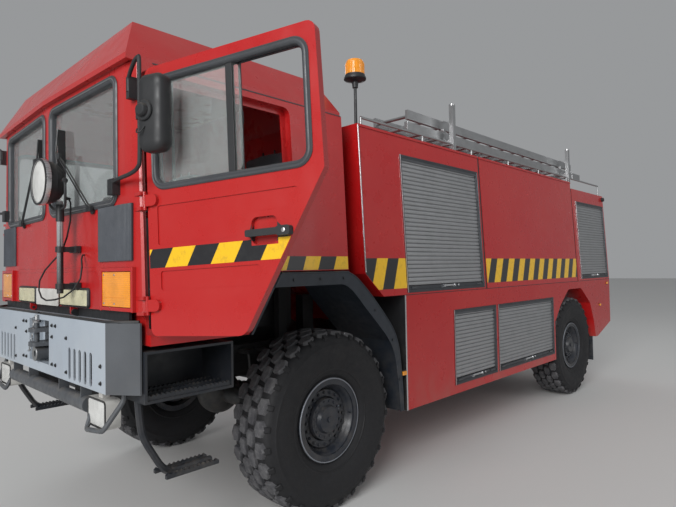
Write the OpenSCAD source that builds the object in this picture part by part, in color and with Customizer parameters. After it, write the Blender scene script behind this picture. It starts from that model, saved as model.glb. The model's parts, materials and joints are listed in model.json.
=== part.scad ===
// Airport fire truck on a 4x4 all-terrain chassis, with its left cab door standing open.
// It is drawn in the vehicle's own axes: X rearward from the front axle, Y to the vehicle's
// right from its centreline, Z up from the ground. place() then moves it to the part's origin.

/* [Wheels] */
// Distance between the axles
wheelbase = 4500; // [4300:10:4700]
// Centreline to the middle of a tyre
track_half = 1045; // [1040:1:1060]
// Tyre diameter over the lugs
tyre_d = 1250; // [1200:5:1270]
// Tyre width at the sidewalls
tyre_w = 375; // [350:1:380]
// Rim diameter at the bead seat
rim_d = 514; // [500:1:530]
// Rim width between the flanges
rim_w = 254; // [240:1:270]
// Height of a tyre lug
lug_h = 24; // [15:1:28]
// Lugs in one row of a tyre
lug_count = 18; // [16:2:28]
// Height of a rim flange
flange_h = 34; // [25:1:40]
// Diameter of the planetary hub
hub_d = 300; // [260:2:320]
// Diameter of the brake drum
drum_d = 410; // [380:2:430]

/* [Axles and steering] */
// Diameter of an axle tube
axle_d = 150; // [130:1:170]
// Diameter of a differential housing
diff_d = 370; // [340:2:380]
// Centreline to a kingpin
kingpin_y = 860; // [850:1:870]
// Diameter of a kingpin
kingpin_d = 40; // [30:1:50]
// Diameter of a wheel spindle
spindle_d = 110; // [90:1:120]
// Kingpin to the tie rod's pin
arm_l = 240; // [225:1:250]
// Diameter of the tie rod
tie_rod_d = 36; // [30:1:40]
// Outer diameter of a coil spring
spring_d = 170; // [150:2:180]
// Diameter of a spring's wire
spring_wire = 24; // [18:1:28]

/* [Chassis] */
// Centreline to the middle of a frame rail
rail_y = 390; // [380:1:400]
// Width of a frame rail
rail_w = 90; // [80:1:100]
// Height of a frame rail
rail_h = 240; // [220:1:250]
// Ground to the underside of the rails
rail_z = 870; // [860:1:890]
// Front end of the rails
rail_front = -1400; // [-1400:1:-1390]
// Rear end of the rails
rail_rear = 5640; // [5500:5:5700]

/* [Cab] */
// Foremost point of the cab, on the centreline
cab_nose = -1445; // [-1450:1:-1435]
// Front of the cab where its corners start
cab_front = -1412; // [-1420:1:-1405]
// Back of the cab
cab_rear = 170; // [120:1:190]
// Half the cab's width at the sill
cab_half = 1245; // [1235:1:1250]
// Ground to the sill
cab_z = 1300; // [1290:1:1310]
// Ground to the front panel's lower edge
cab_nose_z = 1475; // [1470:1:1480]
// Ground to the top of the cab's walls
cab_top = 2800; // [2780:1:2840]
// Inward lean of the cab's sides in degrees
cab_lean = 2.5; // [2:0.1:3]
// Thickness of the cab's walls
cab_wall = 60; // [55:1:65]
// Ground to the cab's underside over the front wheels
cab_arch_z = 1673; // [1660:1:1690]
// Ground to the top of the roof
roof_top = 3100; // [3050:5:3120]
// Thickness of the roof panels
roof_t = 30; // [20:1:40]

/* [Front end] */
// Foremost face of the bumper
bumper_x = -1500; // [-1510:1:-1495]
// Ground to the underside of the bumper
bumper_z = 1050; // [1030:5:1080]
// Ground to the top of the bumper
bumper_top = 1420; // [1400:1:1420]
// Half the bumper's width where its corners start
bumper_half = 1040; // [1030:5:1060]
// Thickness of the bumper's sheet
bumper_t = 8; // [5:1:12]
// Diameter of the tube under the bumper
cross_tube_d = 90; // [76:2:100]

/* [Doors] */
// Door hinge line, rearward of the front axle
hinge_x = -1372; // [-1376:1:-1366]
// Hinge line outward of the door's skin
hinge_out = 14; // [12:1:20]
// Door length from its hinge line
door_l = 1045; // [1000:1:1060]
// Thickness of a door
door_t = 45; // [40:1:48]
// Gap round a door
door_gap = 7; // [6:1:10]
// Angle at which the left door stands open
open_deg = 72.5; // [65:0.5:80]

/* [Bodywork] */
// Front of the body behind the cab
body_front = 342; // [330:1:360]
// Rear of the body
body_rear = 5900; // [5850:5:5950]
// Ground to the underside of the upper body
body_z = 1461; // [1455:1:1470]
// Ground to the top of the upper body
body_top = 2785; // [2760:1:2800]
// Ground to the top of the rear locker
rear_top = 2700; // [2660:1:2720]
// Half the body's width at its underside
body_half = 1250; // [1245:1:1255]
// Inward lean of the body's sides over their height
body_tuck = 65; // [60:1:70]
// Joint between the front locker and the tank
seam_front = 2147; // [2140:1:2160]
// Joint between the tank and the rear locker
seam_rear = 4650; // [4640:1:4660]
// Depth of a shutter's recess
recess = 30; // [25:1:40]
// Ground to the underside of the side lockers
skirt_z = 534; // [520:1:560]
// Front of the side lockers
skirt_front = 810; // [800:1:830]
// Rear of the side lockers to the rear axle
skirt_clear = 665; // [650:1:700]

/* [Hidden] */
$fn = 48;

// Running gaps
pin_gap = 0.1;
seat_gap = 0.3;
clear_gap = 5.5;

// Heights and radii that follow from the sizes above
wheel_z = tyre_d / 2;
rim_r = rim_d / 2;
flange_r = rim_r + flange_h;
rim_half = rim_w / 2;
flange_t = 13;
rim_t = 12;
disc_t = 14;
disc_in = 20;
drum_l = 140;
hub_l = 75;
hub_cap_r = 100;
hub_cap_l = 25;
rail_top = rail_z + rail_h;
yoke_gap = 112;
yoke_t = 33;
yoke_r = 50;
arm_t = 24;
arm_z = wheel_z - 90;
eye_r = 28;
eye_h = 36;
tie_z = arm_z - arm_t / 2 - 5 - eye_h / 2;
tie_pin_r = 12;

// The part's origin: the middle of its outline on the ground, with the left door open
lamp_x = -1560;
lamp_y = -480;
lamp_z = 2215;
lamp_r = 135;
mirror_right_reach = 1560;
front_reach = lamp_x - 90;
rear_reach = body_rear + 60;
left_reach = -cab_half - hinge_out - door_l * sin(open_deg);
module place() {
    translate([-(front_reach + rear_reach) / 2, -(left_reach + mirror_right_reach) / 2, 0])
        children();
}

// Shared shapes

// A rectangle with round corners, as [x, y] points from (x0, y0) to (x1, y1)
function rounded(x0, y0, x1, y1, r, n = 4) = [
    for (c = [[x1 - r, y1 - r, 0], [x0 + r, y1 - r, 90], [x0 + r, y0 + r, 180], [x1 - r, y0 + r, 270]],
         i = [0 : n])
        [c[0] + r * cos(c[2] + 90 * i / n), c[1] + r * sin(c[2] + 90 * i / n)]
];

// An outline with round corners, from rows of [x, y, radius of the corner]
function xy(p) = [p[0], p[1]];
function arc_at(a, b, c, r, n = 4) = let (
        u = (a - b) / norm(a - b), v = (c - b) / norm(c - b), half = acos(u * v) / 2,
        centre = b + (u + v) / norm(u + v) * r / sin(half),
        from = b + u * r / tan(half) - centre, to = b + v * r / tan(half) - centre,
        start = atan2(from[1], from[0]), turn = (atan2(to[1], to[0]) - start + 540) % 360 - 180)
    r == 0 ? [b] : [for (i = [0 : n]) centre + r * [cos(start + turn * i / n), sin(start + turn * i / n)]];
function outline(rows) = let (n = len(rows)) [
    for (i = [0 : n - 1])
        each arc_at(xy(rows[(i + n - 1) % n]), xy(rows[i]), xy(rows[(i + 1) % n]), rows[i][2])];

// The same piece on the left and on the right
module both_sides() {
    children();
    mirror([0, 1, 0]) children();
}

// An outline in X and Z, made solid from y0 to y1
module across(y0, y1) {
    translate([0, y1, 0]) rotate([90, 0, 0]) linear_extrude(y1 - y0) children();
}

// An outline in Y and Z, made solid from x0 to x1
module along(x0, x1) {
    translate([x0, 0, 0]) rotate([90, 0, 90]) linear_extrude(x1 - x0) children();
}

// A block between two corners
module block(low, high) {
    translate(low) cube(high - low);
}

// A round bar along Y
module bar_y(x, z, r, y0, y1) {
    translate([x, y0, z]) rotate([-90, 0, 0]) cylinder(h = y1 - y0, r = r);
}

// A round bar along X
module bar_x(y, z, r, x0, x1) {
    translate([x0, y, z]) rotate([0, 90, 0]) cylinder(h = x1 - x0, r = r);
}

// A straight tube or rod between two points
module rod(a, b, r) {
    d = b - a;
    length = norm(d);
    translate(a)
        rotate([0, acos(d[2] / length), atan2(d[1], d[0])])
            cylinder(h = length, r = r);
}

// A wheel's place: local Z points outward along its axle
module at_wheel(x, s) {
    translate([x, s * track_half, wheel_z]) rotate([-90 * s, 0, 0]) children();
}

// Wheels

// Carcass section, as [radius, half width at that radius] from bead to tread
tyre_profile = [
    [rim_r + seat_gap, rim_half - seat_gap],
    [flange_r + 8, rim_half - seat_gap],
    [wheel_z * 0.74, tyre_w / 2],
    [wheel_z * 0.88, tyre_w / 2 - 8],
    [wheel_z - lug_h, tyre_w / 2 - 60],
];
// A lug's flat top lies where the lowest lug or corner of its row just touches the ground
lug_l = 94;
lug_half = asin(lug_l / tyre_d);
lug_top = wheel_z * min(1, cos(lug_half) / cos(180 / lug_count - lug_half));
// A lug's section, as [radius, place along the axle], from the tread's middle over the shoulder
lug_section = [[lug_top - 68, 60], [lug_top, 10], [lug_top, tyre_w / 2 - 40], [lug_top - 80, tyre_w / 2 - 3]];
module lug_row() {
    for (i = [0 : lug_count - 1]) rotate([0, 0, i * 360 / lug_count])
        rotate([90, 0, 0]) linear_extrude(lug_l, center = true) polygon(lug_section);
}
module tyre() {
    n = len(tyre_profile);
    color("#26262a") {
        rotate_extrude($fn = 24) polygon([
            for (i = [0 : n - 1]) tyre_profile[i],
            for (i = [n - 1 : -1 : 0]) [tyre_profile[i][0], -tyre_profile[i][1]],
        ]);
        lug_row();
        rotate([0, 0, 180 / lug_count]) mirror([0, 0, 1]) lug_row();
    }
}

// Rim section with its disc and hub, as [radius, place along the axle]
stud_count = 10;
stud_r = 15;
stud_ring = 182;
module rim() {
    spindle_bore = spindle_d / 2 + pin_gap;
    color("#3a3d42") for (i = [0 : stud_count - 1]) rotate([0, 0, i * 360 / stud_count])
        translate([stud_ring, 0, disc_in + 1]) cylinder(h = disc_t + 32, r = stud_r);
    color("#3a3d42") rotate_extrude($fn = 72) polygon([
        [rim_r - rim_t, -rim_half - flange_t],
        [flange_r, -rim_half - flange_t],
        [flange_r, -rim_half],
        [rim_r, -rim_half],
        [rim_r, rim_half],
        [flange_r, rim_half],
        [flange_r, rim_half + flange_t],
        [rim_r - rim_t, rim_half + flange_t],
        [rim_r - rim_t, disc_in + disc_t],
        [hub_d / 2, disc_in + disc_t],
        [hub_d / 2 - 8, disc_in + disc_t + hub_l],
        [hub_cap_r, disc_in + disc_t + hub_l],
        [hub_cap_r - 12, disc_in + disc_t + hub_l + hub_cap_l],
        [0, disc_in + disc_t + hub_l + hub_cap_l],
        [0, disc_in + hub_l],
        [spindle_bore, disc_in + hub_l],
        [spindle_bore, disc_in - drum_l],
        [drum_d / 2, disc_in - drum_l],
        [drum_d / 2, disc_in],
        [rim_r - rim_t, disc_in],
    ]);
}

// Axles and steering

nose_l = diff_d / 2 + 40;
diff_y = 200;
module diff_housing(x, y, s) {
    translate([x, y, wheel_z]) sphere(d = diff_d, $fn = 32);
    bar_x(y, wheel_z, 60, min(x, x + s * nose_l), max(x, x + s * nose_l));
}

module front_axle() {
    color("#2c2d30") difference() {
        union() {
            bar_y(0, wheel_z, axle_d / 2, -720, 720);
            diff_housing(0, diff_y, 1);
            both_sides() {
                block([-60, -730, wheel_z - yoke_gap - yoke_t], [60, -700, wheel_z + yoke_gap + yoke_t]);
                for (z = [-yoke_gap - yoke_t, yoke_gap])
                    translate([0, 0, wheel_z + z]) linear_extrude(yoke_t) {
                        translate([0, -kingpin_y]) circle(yoke_r);
                        translate([-yoke_r, -kingpin_y]) square([2 * yoke_r, kingpin_y - 720]);
                    }
                spring_seat(0, 1);
            }
        }
        both_sides() translate([0, -kingpin_y, 0])
            cylinder(h = 2 * wheel_z, r = kingpin_d / 2 + pin_gap);
    }
}

// Platform on an axle that carries a coil spring
spring_y = 560;
spring_r = spring_d / 2;
spring_turns = 6;
cup_h = 14;
seat_z = wheel_z + axle_d / 2 + 25;
module spring_seat(x, s) {
    translate([x, -spring_y, wheel_z]) cylinder(h = seat_z - wheel_z, r = spring_r + 15);
    block([min(x - s * 60, x - s * damper_x), -damper_y - 20, wheel_z - 25],
        [max(x - s * 60, x - s * damper_x), -damper_y + 20, wheel_z + 25]);
    translate([x - s * damper_x, -damper_y, wheel_z - 25]) cylinder(h = 50, r = 36);
    block([min(x + s * 60, x + s * ear_x), -link_y - 30, wheel_z - 55],
        [max(x + s * 60, x + s * ear_x), -link_y + 30, wheel_z + 15]);
}

module rear_axle() {
    end = track_half + disc_in + hub_l - 5;
    color("#2c2d30") {
        bar_y(wheelbase, wheel_z, axle_d / 2, -820, 820);
        diff_housing(wheelbase, 0, -1);
        both_sides() {
            bar_y(wheelbase, wheel_z, 120, -880, -800);
            bar_y(wheelbase, wheel_z, spindle_d / 2, -end, -860);
            spring_seat(wheelbase, -1);
        }
    }
}

module knuckle() {
    end = track_half + disc_in + hub_l - 5;
    pin_half = yoke_gap + yoke_t + 8;
    color("#33343a") difference() {
        union() {
            translate([0, -kingpin_y, wheel_z - yoke_gap + 6]) cylinder(h = 2 * yoke_gap - 12, r = 46);
            translate([0, -kingpin_y, wheel_z - pin_half]) cylinder(h = 2 * pin_half, r = kingpin_d / 2);
            bar_y(0, wheel_z, spindle_d / 2, -end, -kingpin_y);
            translate([0, 0, arm_z - arm_t / 2]) linear_extrude(arm_t) {
                translate([0, -kingpin_y - 24]) square([arm_l, 48]);
                translate([arm_l, -kingpin_y]) circle(eye_r);
            }
        }
        translate([arm_l, -kingpin_y, arm_z - arm_t])
            cylinder(h = 2 * arm_t, r = tie_pin_r + pin_gap);
    }
}
module knuckle_left() { knuckle(); }
module knuckle_right() { mirror([0, 1, 0]) knuckle(); }

module tie_rod() {
    color("#4a4c50") {
        bar_y(arm_l, tie_z, tie_rod_d / 2, -kingpin_y, kingpin_y);
        both_sides() {
            translate([arm_l, -kingpin_y, tie_z - eye_h / 2]) cylinder(h = eye_h, r = eye_r);
            translate([arm_l, -kingpin_y, tie_z]) cylinder(h = arm_z + arm_t / 2 - tie_z, r = tie_pin_r);
        }
    }
}

// Springs, links and dampers of one axle; its links run towards s along X
spring_top = rail_top - 60;
damper_x = 150;
damper_y = 520;
link_y = 470;
link_x = 760;
ear_x = 110;

// A coil spring's wire between two heights
module coil(low, high) {
    steps = spring_turns * 10;
    tube([for (i = [0 : steps]) [(spring_r - spring_wire / 2) * cos(36 * i),
            (spring_r - spring_wire / 2) * sin(36 * i),
        low + (high - low) * i / steps]], spring_wire / 2, 5, [0, 0, 1]);
}
module suspension(x, s) {
    bracket_y = rail_y + rail_w / 2;
    damper_low = x - s * damper_x;
    damper_top = damper_low - s * 50;
    color("#303136") both_sides() {
        translate([x, -spring_y, 0]) {
            for (z = [seat_z + seat_gap, spring_top - cup_h])
                translate([0, 0, z]) cylinder(h = cup_h, r = spring_r);
            coil(seat_z + seat_gap + cup_h, spring_top - cup_h);
        }
        block([x - 80, -spring_y - spring_r, spring_top], [x + 80, -bracket_y, spring_top + 30]);
        rod([x - s * damper_x, -damper_y, wheel_z + 25 + seat_gap + 8],
            [(damper_low + damper_top) / 2, -damper_y, (wheel_z + spring_top) / 2], 30);
        rod([damper_low, -damper_y, wheel_z + 35], [damper_top, -damper_y, spring_top], 14);
        block([damper_top - 40, -damper_y - 40, spring_top], [damper_top + 40, -bracket_y, spring_top + 30]);
        rod([x + s * (ear_x + 8), -link_y, wheel_z - 20], [x + s * link_x, -link_y, rail_z - 30], 22);
        block([x + s * link_x - 35, -link_y - 30, rail_z - 70], [x + s * link_x + 35, -bracket_y, rail_z + 60]);
    }
}
module front_suspension() { suspension(0, 1); }
module rear_suspension() { suspension(wheelbase, -1); }

// Chassis

// Cross members, each as [place along X, width]
cross_members = [[-1250, 80], [2000, 70], [2900, 90],
    [wheelbase - 900, 90], [wheelbase + 700, 90], [rail_rear - 40, 80]];
module chassis_frame() {
    color("#232427") {
        both_sides()
            block([rail_front, -rail_y - rail_w / 2, rail_z], [rail_rear, -rail_y + rail_w / 2, rail_top]);
        for (c = cross_members)
            block([c[0] - c[1] / 2, -rail_y, rail_z + 40], [c[0] + c[1] / 2, rail_y, rail_top - 40]);
        both_sides() for (x = [1000, 2600, 3600])
            block([x - 40, -700, rail_top - 140], [x + 40, -rail_y - rail_w / 2, rail_top - 20]);
        both_sides() for (x = [500, 1900, 3300, 5300])
            block([x - 60, -rail_y - rail_w / 2, rail_top], [x + 60, -rail_y + rail_w / 2, body_z]);
        both_sides() {
            tilt_ear();
            block([-1200, -rail_y - rail_w / 2, rail_top], [-1100, -rail_y + rail_w / 2, cab_z - clear_gap]);
            block([85, -540, rail_top - 60], [165, -480, cab_arch_z - clear_gap]);
            block([85, -480, rail_top - 60], [165, -rail_y - rail_w / 2, rail_top]);
        }
    }
}

// The cab tilts forward about a pin on each rail, held by an ear of the frame and a lug of the cab
tilt_x = -1420;
tilt_z = 1445;
tilt_pin_r = 10;
tilt_r = 20;
ear_t = 14;
ear_y = -rail_y - ear_t - 4;
lug_y = -rail_y;
module tilt_ear() {
    across(ear_y, ear_y + ear_t) {
        translate([tilt_x, tilt_z]) circle(tilt_r);
        polygon([[rail_front + 2, rail_top], [rail_front + 42, rail_top], [rail_front + 42, tilt_z - 50],
            [tilt_x + 15, tilt_z + 10], [tilt_x - 15, tilt_z], [rail_front + 2, tilt_z - 22]]);
    }
    bar_y(tilt_x, tilt_z, tilt_pin_r, ear_y, lug_y + 16);
}
module tilt_lug() {
    difference() {
        across(lug_y, lug_y + 14) {
            translate([tilt_x, tilt_z]) circle(tilt_r);
            translate([tilt_x - tilt_r, tilt_z]) square([2 * tilt_r, cab_nose_z - tilt_z + 5]);
        }
        bar_y(tilt_x, tilt_z, tilt_pin_r + pin_gap, lug_y - 10, lug_y + 30);
    }
}

engine_x = [-500, 300];
module engine_block() {
    half = rail_y - rail_w / 2 - 15;
    color("#4b4f52") both_sides() for (x = [engine_x[0] + 80, engine_x[1] - 80])
        block([x - 40, -half - 15 + seat_gap, rail_z + 60], [x + 40, -half, rail_z + 160]);
    color("#4b4f52") along(engine_x[0], engine_x[1]) polygon([
        [-half, rail_z + 20], [half, rail_z + 20], [half, rail_top], [440, rail_top + 120],
        [440, 1560], [300, 1620], [-300, 1620], [-440, 1560], [-440, rail_top + 120], [-half, rail_top],
    ]);
}

transfer_x = 1700;
ball_r = 45;
module driveline() {
    color("#3a3c40") {
        bar_x(0, 1040, 200, engine_x[1] + seat_gap, 620);
        bar_x(0, 1040, 150, 620, 1060);
        block([transfer_x - 160, -190, 700], [transfer_x + 160, 190, 1080]);
        both_sides() block([transfer_x - 50, -rail_y + rail_w / 2 + seat_gap, 960],
            [transfer_x + 50, -190, 1060]);
        bar_x(0, 1000, 35, 1060, transfer_x - 160);
        shaft([transfer_x - 160, 150, 800], [nose_l + ball_r + seat_gap, diff_y, wheel_z]);
        shaft([transfer_x + 160, 0, 800], [wheelbase - nose_l - ball_r - seat_gap, 0, wheel_z]);
    }
}
module shaft(a, b) {
    rod(a, b, 35);
    for (p = [a, b])
        translate(p) sphere(r = ball_r, $fn = 32);
}

// Front end

// The bumper is a hollow pressing, open to the rear. Its plan, drawn in by t
bumper_side = 1200;
bumper_wrap = 120;
function bumper_plan(t) = [
    [bumper_x + t, -bumper_half + t / 2], [bumper_x + t, bumper_half - t / 2],
    [bumper_x + bumper_wrap - 10, bumper_side - t], [bumper_x + bumper_wrap + t, bumper_side - t],
    [bumper_x + bumper_wrap + t, 1000], [rail_front + t, 900], [rail_front + t, -900],
    [bumper_x + bumper_wrap + t, -1000], [bumper_x + bumper_wrap + t, -bumper_side + t],
    [bumper_x + bumper_wrap - 10, -bumper_side + t],
];
// Slots in the front, from slot_y outward
slot_count = 5;
slot_pitch = 78;
slot_w = 36;
slot_y = 535;
slot_z = [bumper_z + 15, bumper_z + 200];
// Pocket for the coupling
pocket_half = 190;
pocket_z = [bumper_z + 60, bumper_top - 35];
pocket_depth = 85;
// Tube under the bumper, against the rails' front ends
tube_x = rail_front - cross_tube_d / 2 - seat_gap;
tube_z = rail_z + 65;
tube_half = 700;
hanger_t = 10;
module bumper() {
    color("#8d99a8") {
        difference() {
            union() {
                difference() {
                    translate([0, 0, bumper_z]) linear_extrude(bumper_top - bumper_z) polygon(bumper_plan(0));
                    translate([0, 0, bumper_z + bumper_t])
                        linear_extrude(bumper_top - bumper_z - 2 * bumper_t) polygon(bumper_plan(bumper_t));
                }
                block([bumper_x + 1, -pocket_half - bumper_t, pocket_z[0] - bumper_t],
                    [bumper_x + pocket_depth + bumper_t, pocket_half + bumper_t, pocket_z[1] + bumper_t]);
            }
            block([bumper_x - 10, -pocket_half, pocket_z[0]],
                [bumper_x + pocket_depth, pocket_half, pocket_z[1]]);
            both_sides() for (i = [0 : slot_count - 1])
                translate([0, -slot_y - i * slot_pitch, 0]) along(bumper_x - 10, bumper_x + 2 * bumper_t)
                    polygon(rounded(-slot_w / 2, slot_z[0], slot_w / 2, slot_z[1], slot_w / 2 - 1, 2));
        }
        both_sides() block([bumper_x + 1, -rail_y - rail_w / 2 + 5, bumper_z + 1],
            [rail_front, -rail_y + rail_w / 2 - 5, bumper_top - 70]);
    }
    color("#33353a") {
        bar_y(tube_x, tube_z, cross_tube_d / 2, -tube_half, tube_half);
        for (y = [-tube_half + 60, -rail_y + 100, rail_y - 100, tube_half - 60])
            block([tube_x - 30, y - hanger_t / 2, tube_z],
                [tube_x + 30, y + hanger_t / 2, bumper_z + bumper_t / 2]);
    }
}

// Coupling in the bumper's pocket: two jaws with their pin, over a boss with a bore
coupling_x = bumper_x + pocket_depth;
boss_z = bumper_z + 115;
jaw_z = [bumper_z + 165, bumper_z + 255];
jaw_t = 26;
coupling_pin_r = 16;
module tow_coupling() {
    color("#2a2b2e") {
        difference() {
            union() {
                block([coupling_x - 14, -110, pocket_z[0] + 15], [coupling_x, 110, pocket_z[1] - 15]);
                bar_x(0, boss_z, 48, bumper_x - 25, coupling_x - 1);
            }
            bar_x(0, boss_z, 20, bumper_x - 35, coupling_x + 1);
        }
        for (z = jaw_z) translate([0, 0, z]) linear_extrude(jaw_t) polygon(outline([
            [coupling_x - 10, -75, 0], [bumper_x - 55, -48, 30], [bumper_x - 55, 48, 30],
            [coupling_x - 10, 75, 0]]));
        translate([bumper_x - 12, 0, jaw_z[0] - 20]) cylinder(h = jaw_z[1] - jaw_z[0] + 75, r = coupling_pin_r);
    }
}

// A path with its corners rounded: each bend starts and ends at r from its corner
function bent(p, r, n = 3) = let (last = len(p) - 1) [
    p[0],
    for (i = [1 : last - 1]) let (u = (p[i - 1] - p[i]) / norm(p[i - 1] - p[i]),
            v = (p[i + 1] - p[i]) / norm(p[i + 1] - p[i]))
        for (k = [0 : n]) p[i] + r * (pow(1 - k / n, 2) * u + pow(k / n, 2) * v),
    p[last],
];

// Lamps under the bumper's ends, each behind a bent guard
fog_y = [735, 973];
fog_z = [840, 1000];
fog_x = [bumper_x + 30, bumper_x + 110];
guard_r = 14;
module fog_lamps() {
    color("#d9d9d2") both_sides() {
        along(fog_x[0], fog_x[1]) polygon(rounded(-fog_y[1], fog_z[0], -fog_y[0], fog_z[1], 22, 3));
        block([fog_x[0] + 20, -880, fog_z[1] - 5], [fog_x[0] + 60, -830, bumper_z - seat_gap]);
    }
    color("#33353a") both_sides() tube(bent([
        [bumper_x + 90, -1060, bumper_z - seat_gap], [bumper_x + 90, -1060, bumper_z - 40],
        [bumper_x + 5, -990, 850], [bumper_x + 5, -770, 820], [tube_x, -tube_half - 50, tube_z],
        [tube_x, -tube_half - seat_gap, tube_z]], 25), guard_r, 8);
}

// A strip of tread plate with a toothed top edge
tooth_l = 26;
module tread(x0, x1, y0, y1, z) {
    teeth = floor((x1 - x0) / tooth_l);
    pitch = (x1 - x0) / teeth;
    across(y0, y1) polygon([
        [x1, z], [x0, z],
        for (i = [0 : teeth - 1]) each [[x0 + i * pitch, z + 20], [x0 + (i + 0.5) * pitch, z + 30]],
        [x1, z + 20],
    ]);
}

// Steps: an open box under each door, and a tread hung below it
step_x = [hinge_x, -828];
step_z = 1000;
step_y = [860, 1215];
hang_y = 1075;
hang_z = 560;
hang_x = [step_x[0] + 152, step_x[1] - 62];
module front_steps() {
    color("#1d1e21") both_sides() {
        difference() {
            block([step_x[0], -step_y[1], step_z], [step_x[1], -step_y[0], cab_z - 30]);
            block([step_x[0] + 14, -step_y[1] - 1, step_z + 14], [step_x[1] - 14, -step_y[0] - 40, cab_z - 44]);
        }
        for (y = [-step_y[1] + 10, -step_y[1] + 105, -step_y[1] + 200])
            tread(step_x[0] + 13, step_x[1] - 13, y, y + 20, step_z + 13);
        block([step_x[0] + 100, -step_y[0], step_z + 40],
            [step_x[0] + 160, -rail_y - rail_w / 2 - seat_gap, step_z + 90]);
        tube(bent([[step_x[0] + 27, -hang_y, step_z + 5], [step_x[0] + 47, -hang_y, 800],
            [hang_x[0] + 30, -hang_y, hang_z + 12], [hang_x[1] - 10, -hang_y, hang_z + 12]], 70), 20, 8);
        for (y = [-1150, -1020]) tread(hang_x[0], hang_x[1], y, y + 20, hang_z);
        for (x = [hang_x[0] + 40, hang_x[1] - 40])
            block([x - 12, -1140, hang_z + 5], [x + 12, -1010, hang_z + 19]);
    }
}

// Cab

corner_x = 46;
front_half = 1000;
function lean_in(z) = (z - cab_z) * tan(cab_lean);
front_turn = atan((cab_front - cab_nose) / front_half);
function front_x(y) = cab_nose + (cab_front - cab_nose) * abs(y) / front_half;

// Plan of the cab at a height, drawn in by t all round
function cab_plan(z, t) = let (half = cab_half - lean_in(z) - t, corner_y = half - front_half) [
    [cab_nose + t, 0],
    for (i = [0 : 4]) cab_corner(i, corner_y, t),
    [cab_rear - t, half],
    [cab_rear - t, -half],
    for (i = [4 : -1 : 0]) let (c = cab_corner(i, corner_y, t)) [c[0], -c[1]],
];
function cab_corner(i, corner_y, t) = [
    cab_front + t + corner_x * (1 - cos(22.5 * i)), front_half + corner_y * sin(22.5 * i)];
module cab_loft(t) {
    hull() {
        translate([0, 0, cab_z - 1]) linear_extrude(1) polygon(cab_plan(cab_z, t));
        translate([0, 0, cab_top - 1]) linear_extrude(1) polygon(cab_plan(cab_top, t));
    }
}

// The sill's ends, and where its rear rises round the wheel
sill_front = -1352;
sill_rear = -735;
rise_x = -505;
module cab_underside(t) {
    polygon([
        [cab_nose - 10, cab_nose_z + t], [sill_front + t, cab_nose_z + t], [sill_front + t, cab_z + t],
        [sill_rear + t / 2, cab_z + t], [rise_x + t / 2, cab_arch_z + t],
        [cab_rear + 10, cab_arch_z + t], [cab_rear + 10, cab_top + 10], [cab_nose - 10, cab_top + 10],
    ]);
}

// The left side's plane: local Y is 0 on its skin and grows inward, Z is from the ground
module on_left_side() {
    translate([0, -cab_half, cab_z]) rotate([-cab_lean, 0, 0]) translate([0, 0, -cab_z]) children();
}

// A half of the front: local X is 0 on its skin, Y runs outward from the centreline
module on_front() {
    translate([cab_nose, 0, 0]) rotate([0, 0, -front_turn]) children();
}

// Outline of a door or its opening, grown by g, in X and Z
door_z = 1355;
door_top = 2750;
belt_z = 2084;
door_low_rear = hinge_x + door_l - 484;
function door_points(g) = outline([
    [hinge_x + door_gap - g, door_z - g, 40 + g],
    [door_low_rear + 30 + 0.4 * g, door_z - g, 70 + g],
    [hinge_x + door_l + g, belt_z, 0],
    [hinge_x + door_l - 16 + g, door_top + g, 45 + g],
    [hinge_x + door_gap - g, door_top + g, 45 + g],
]);

// Window of a door
window_z = [2120, 2670];
window_x = [hinge_x + 68, hinge_x + door_l - 75];
function window_points(g) = rounded(window_x[0] - g, window_z[0] - g, window_x[1] + g, window_z[1] + g, 60 + g);

module door_cut() {
    across(-60, door_t + clear_gap) polygon(door_points(door_gap));
    across(door_t, cab_wall + 60) polygon(door_points(-30));
}

// Windscreen panes
pane_y = [70, 975];
pane_z = [2075, 2740];
module pane_outline(g) {
    polygon(rounded(pane_y[0] - g, pane_z[0] - g, pane_y[1] + g, pane_z[1] + g, 50 + g));
}

module cab_shell() {
    color("#c8161d") both_sides() {
        tilt_lug();
        on_left_side() for (z = hinge_heights) hinge_seat(z);
    }
    color("#c8161d") difference() {
        intersection() {
            cab_loft(0);
            across(-2000, 2000) cab_underside(0);
        }
        intersection() {
            cab_loft(cab_wall);
            across(-2000, 2000) cab_underside(cab_wall - 15);
        }
        both_sides() on_left_side() door_cut();
        both_sides() on_front() along(-80, 160) pane_outline(0);
    }
}

gutter_x = -1440;
gutter_half = 1165;
roof_front = -1305;
roof_half = 960;
module roof_loft(t) {
    hull() {
        translate([0, 0, cab_top + seat_gap - t]) linear_extrude(30)
            polygon([[gutter_x - 35 + t, 0], [gutter_x + t, gutter_half - t], [cab_rear - t, gutter_half - t],
                [cab_rear - t, -gutter_half + t], [gutter_x + t, -gutter_half + t]]);
        translate([0, 0, roof_top - 1 - t]) linear_extrude(1)
            polygon([[roof_front + t, roof_half - t], [cab_rear - 60 - t, roof_half - t],
                [cab_rear - 60 - t, -roof_half + t], [roof_front + t, -roof_half + t]]);
    }
}
module cab_roof() {
    color("#c8161d") difference() {
        roof_loft(0);
        roof_loft(roof_t);
    }
}

module windscreen() {
    color("#9fb4b8", 0.4) both_sides() on_front() along(25, 31) pane_outline(-seat_gap);
}

// Shallow pressings in a door's skin, as [rearward of the hinge line, Z, corner radius]
stamp_depth = 6;
upper_stamp = [[72, 2018, 12], [912, 2018, 12], [868, 1926, 12], [646, 1926, 15],
    [566, 1815, 12], [72, 1815, 12]];
lower_stamp = [[84, 1682, 12], [718, 1682, 25], [658, 1585, 20], [84, 1585, 12]];
module stamp(rows) {
    across(-10, stamp_depth) polygon(outline([for (p = rows) [hinge_x + p[0], p[1], p[2]]]));
}
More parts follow.
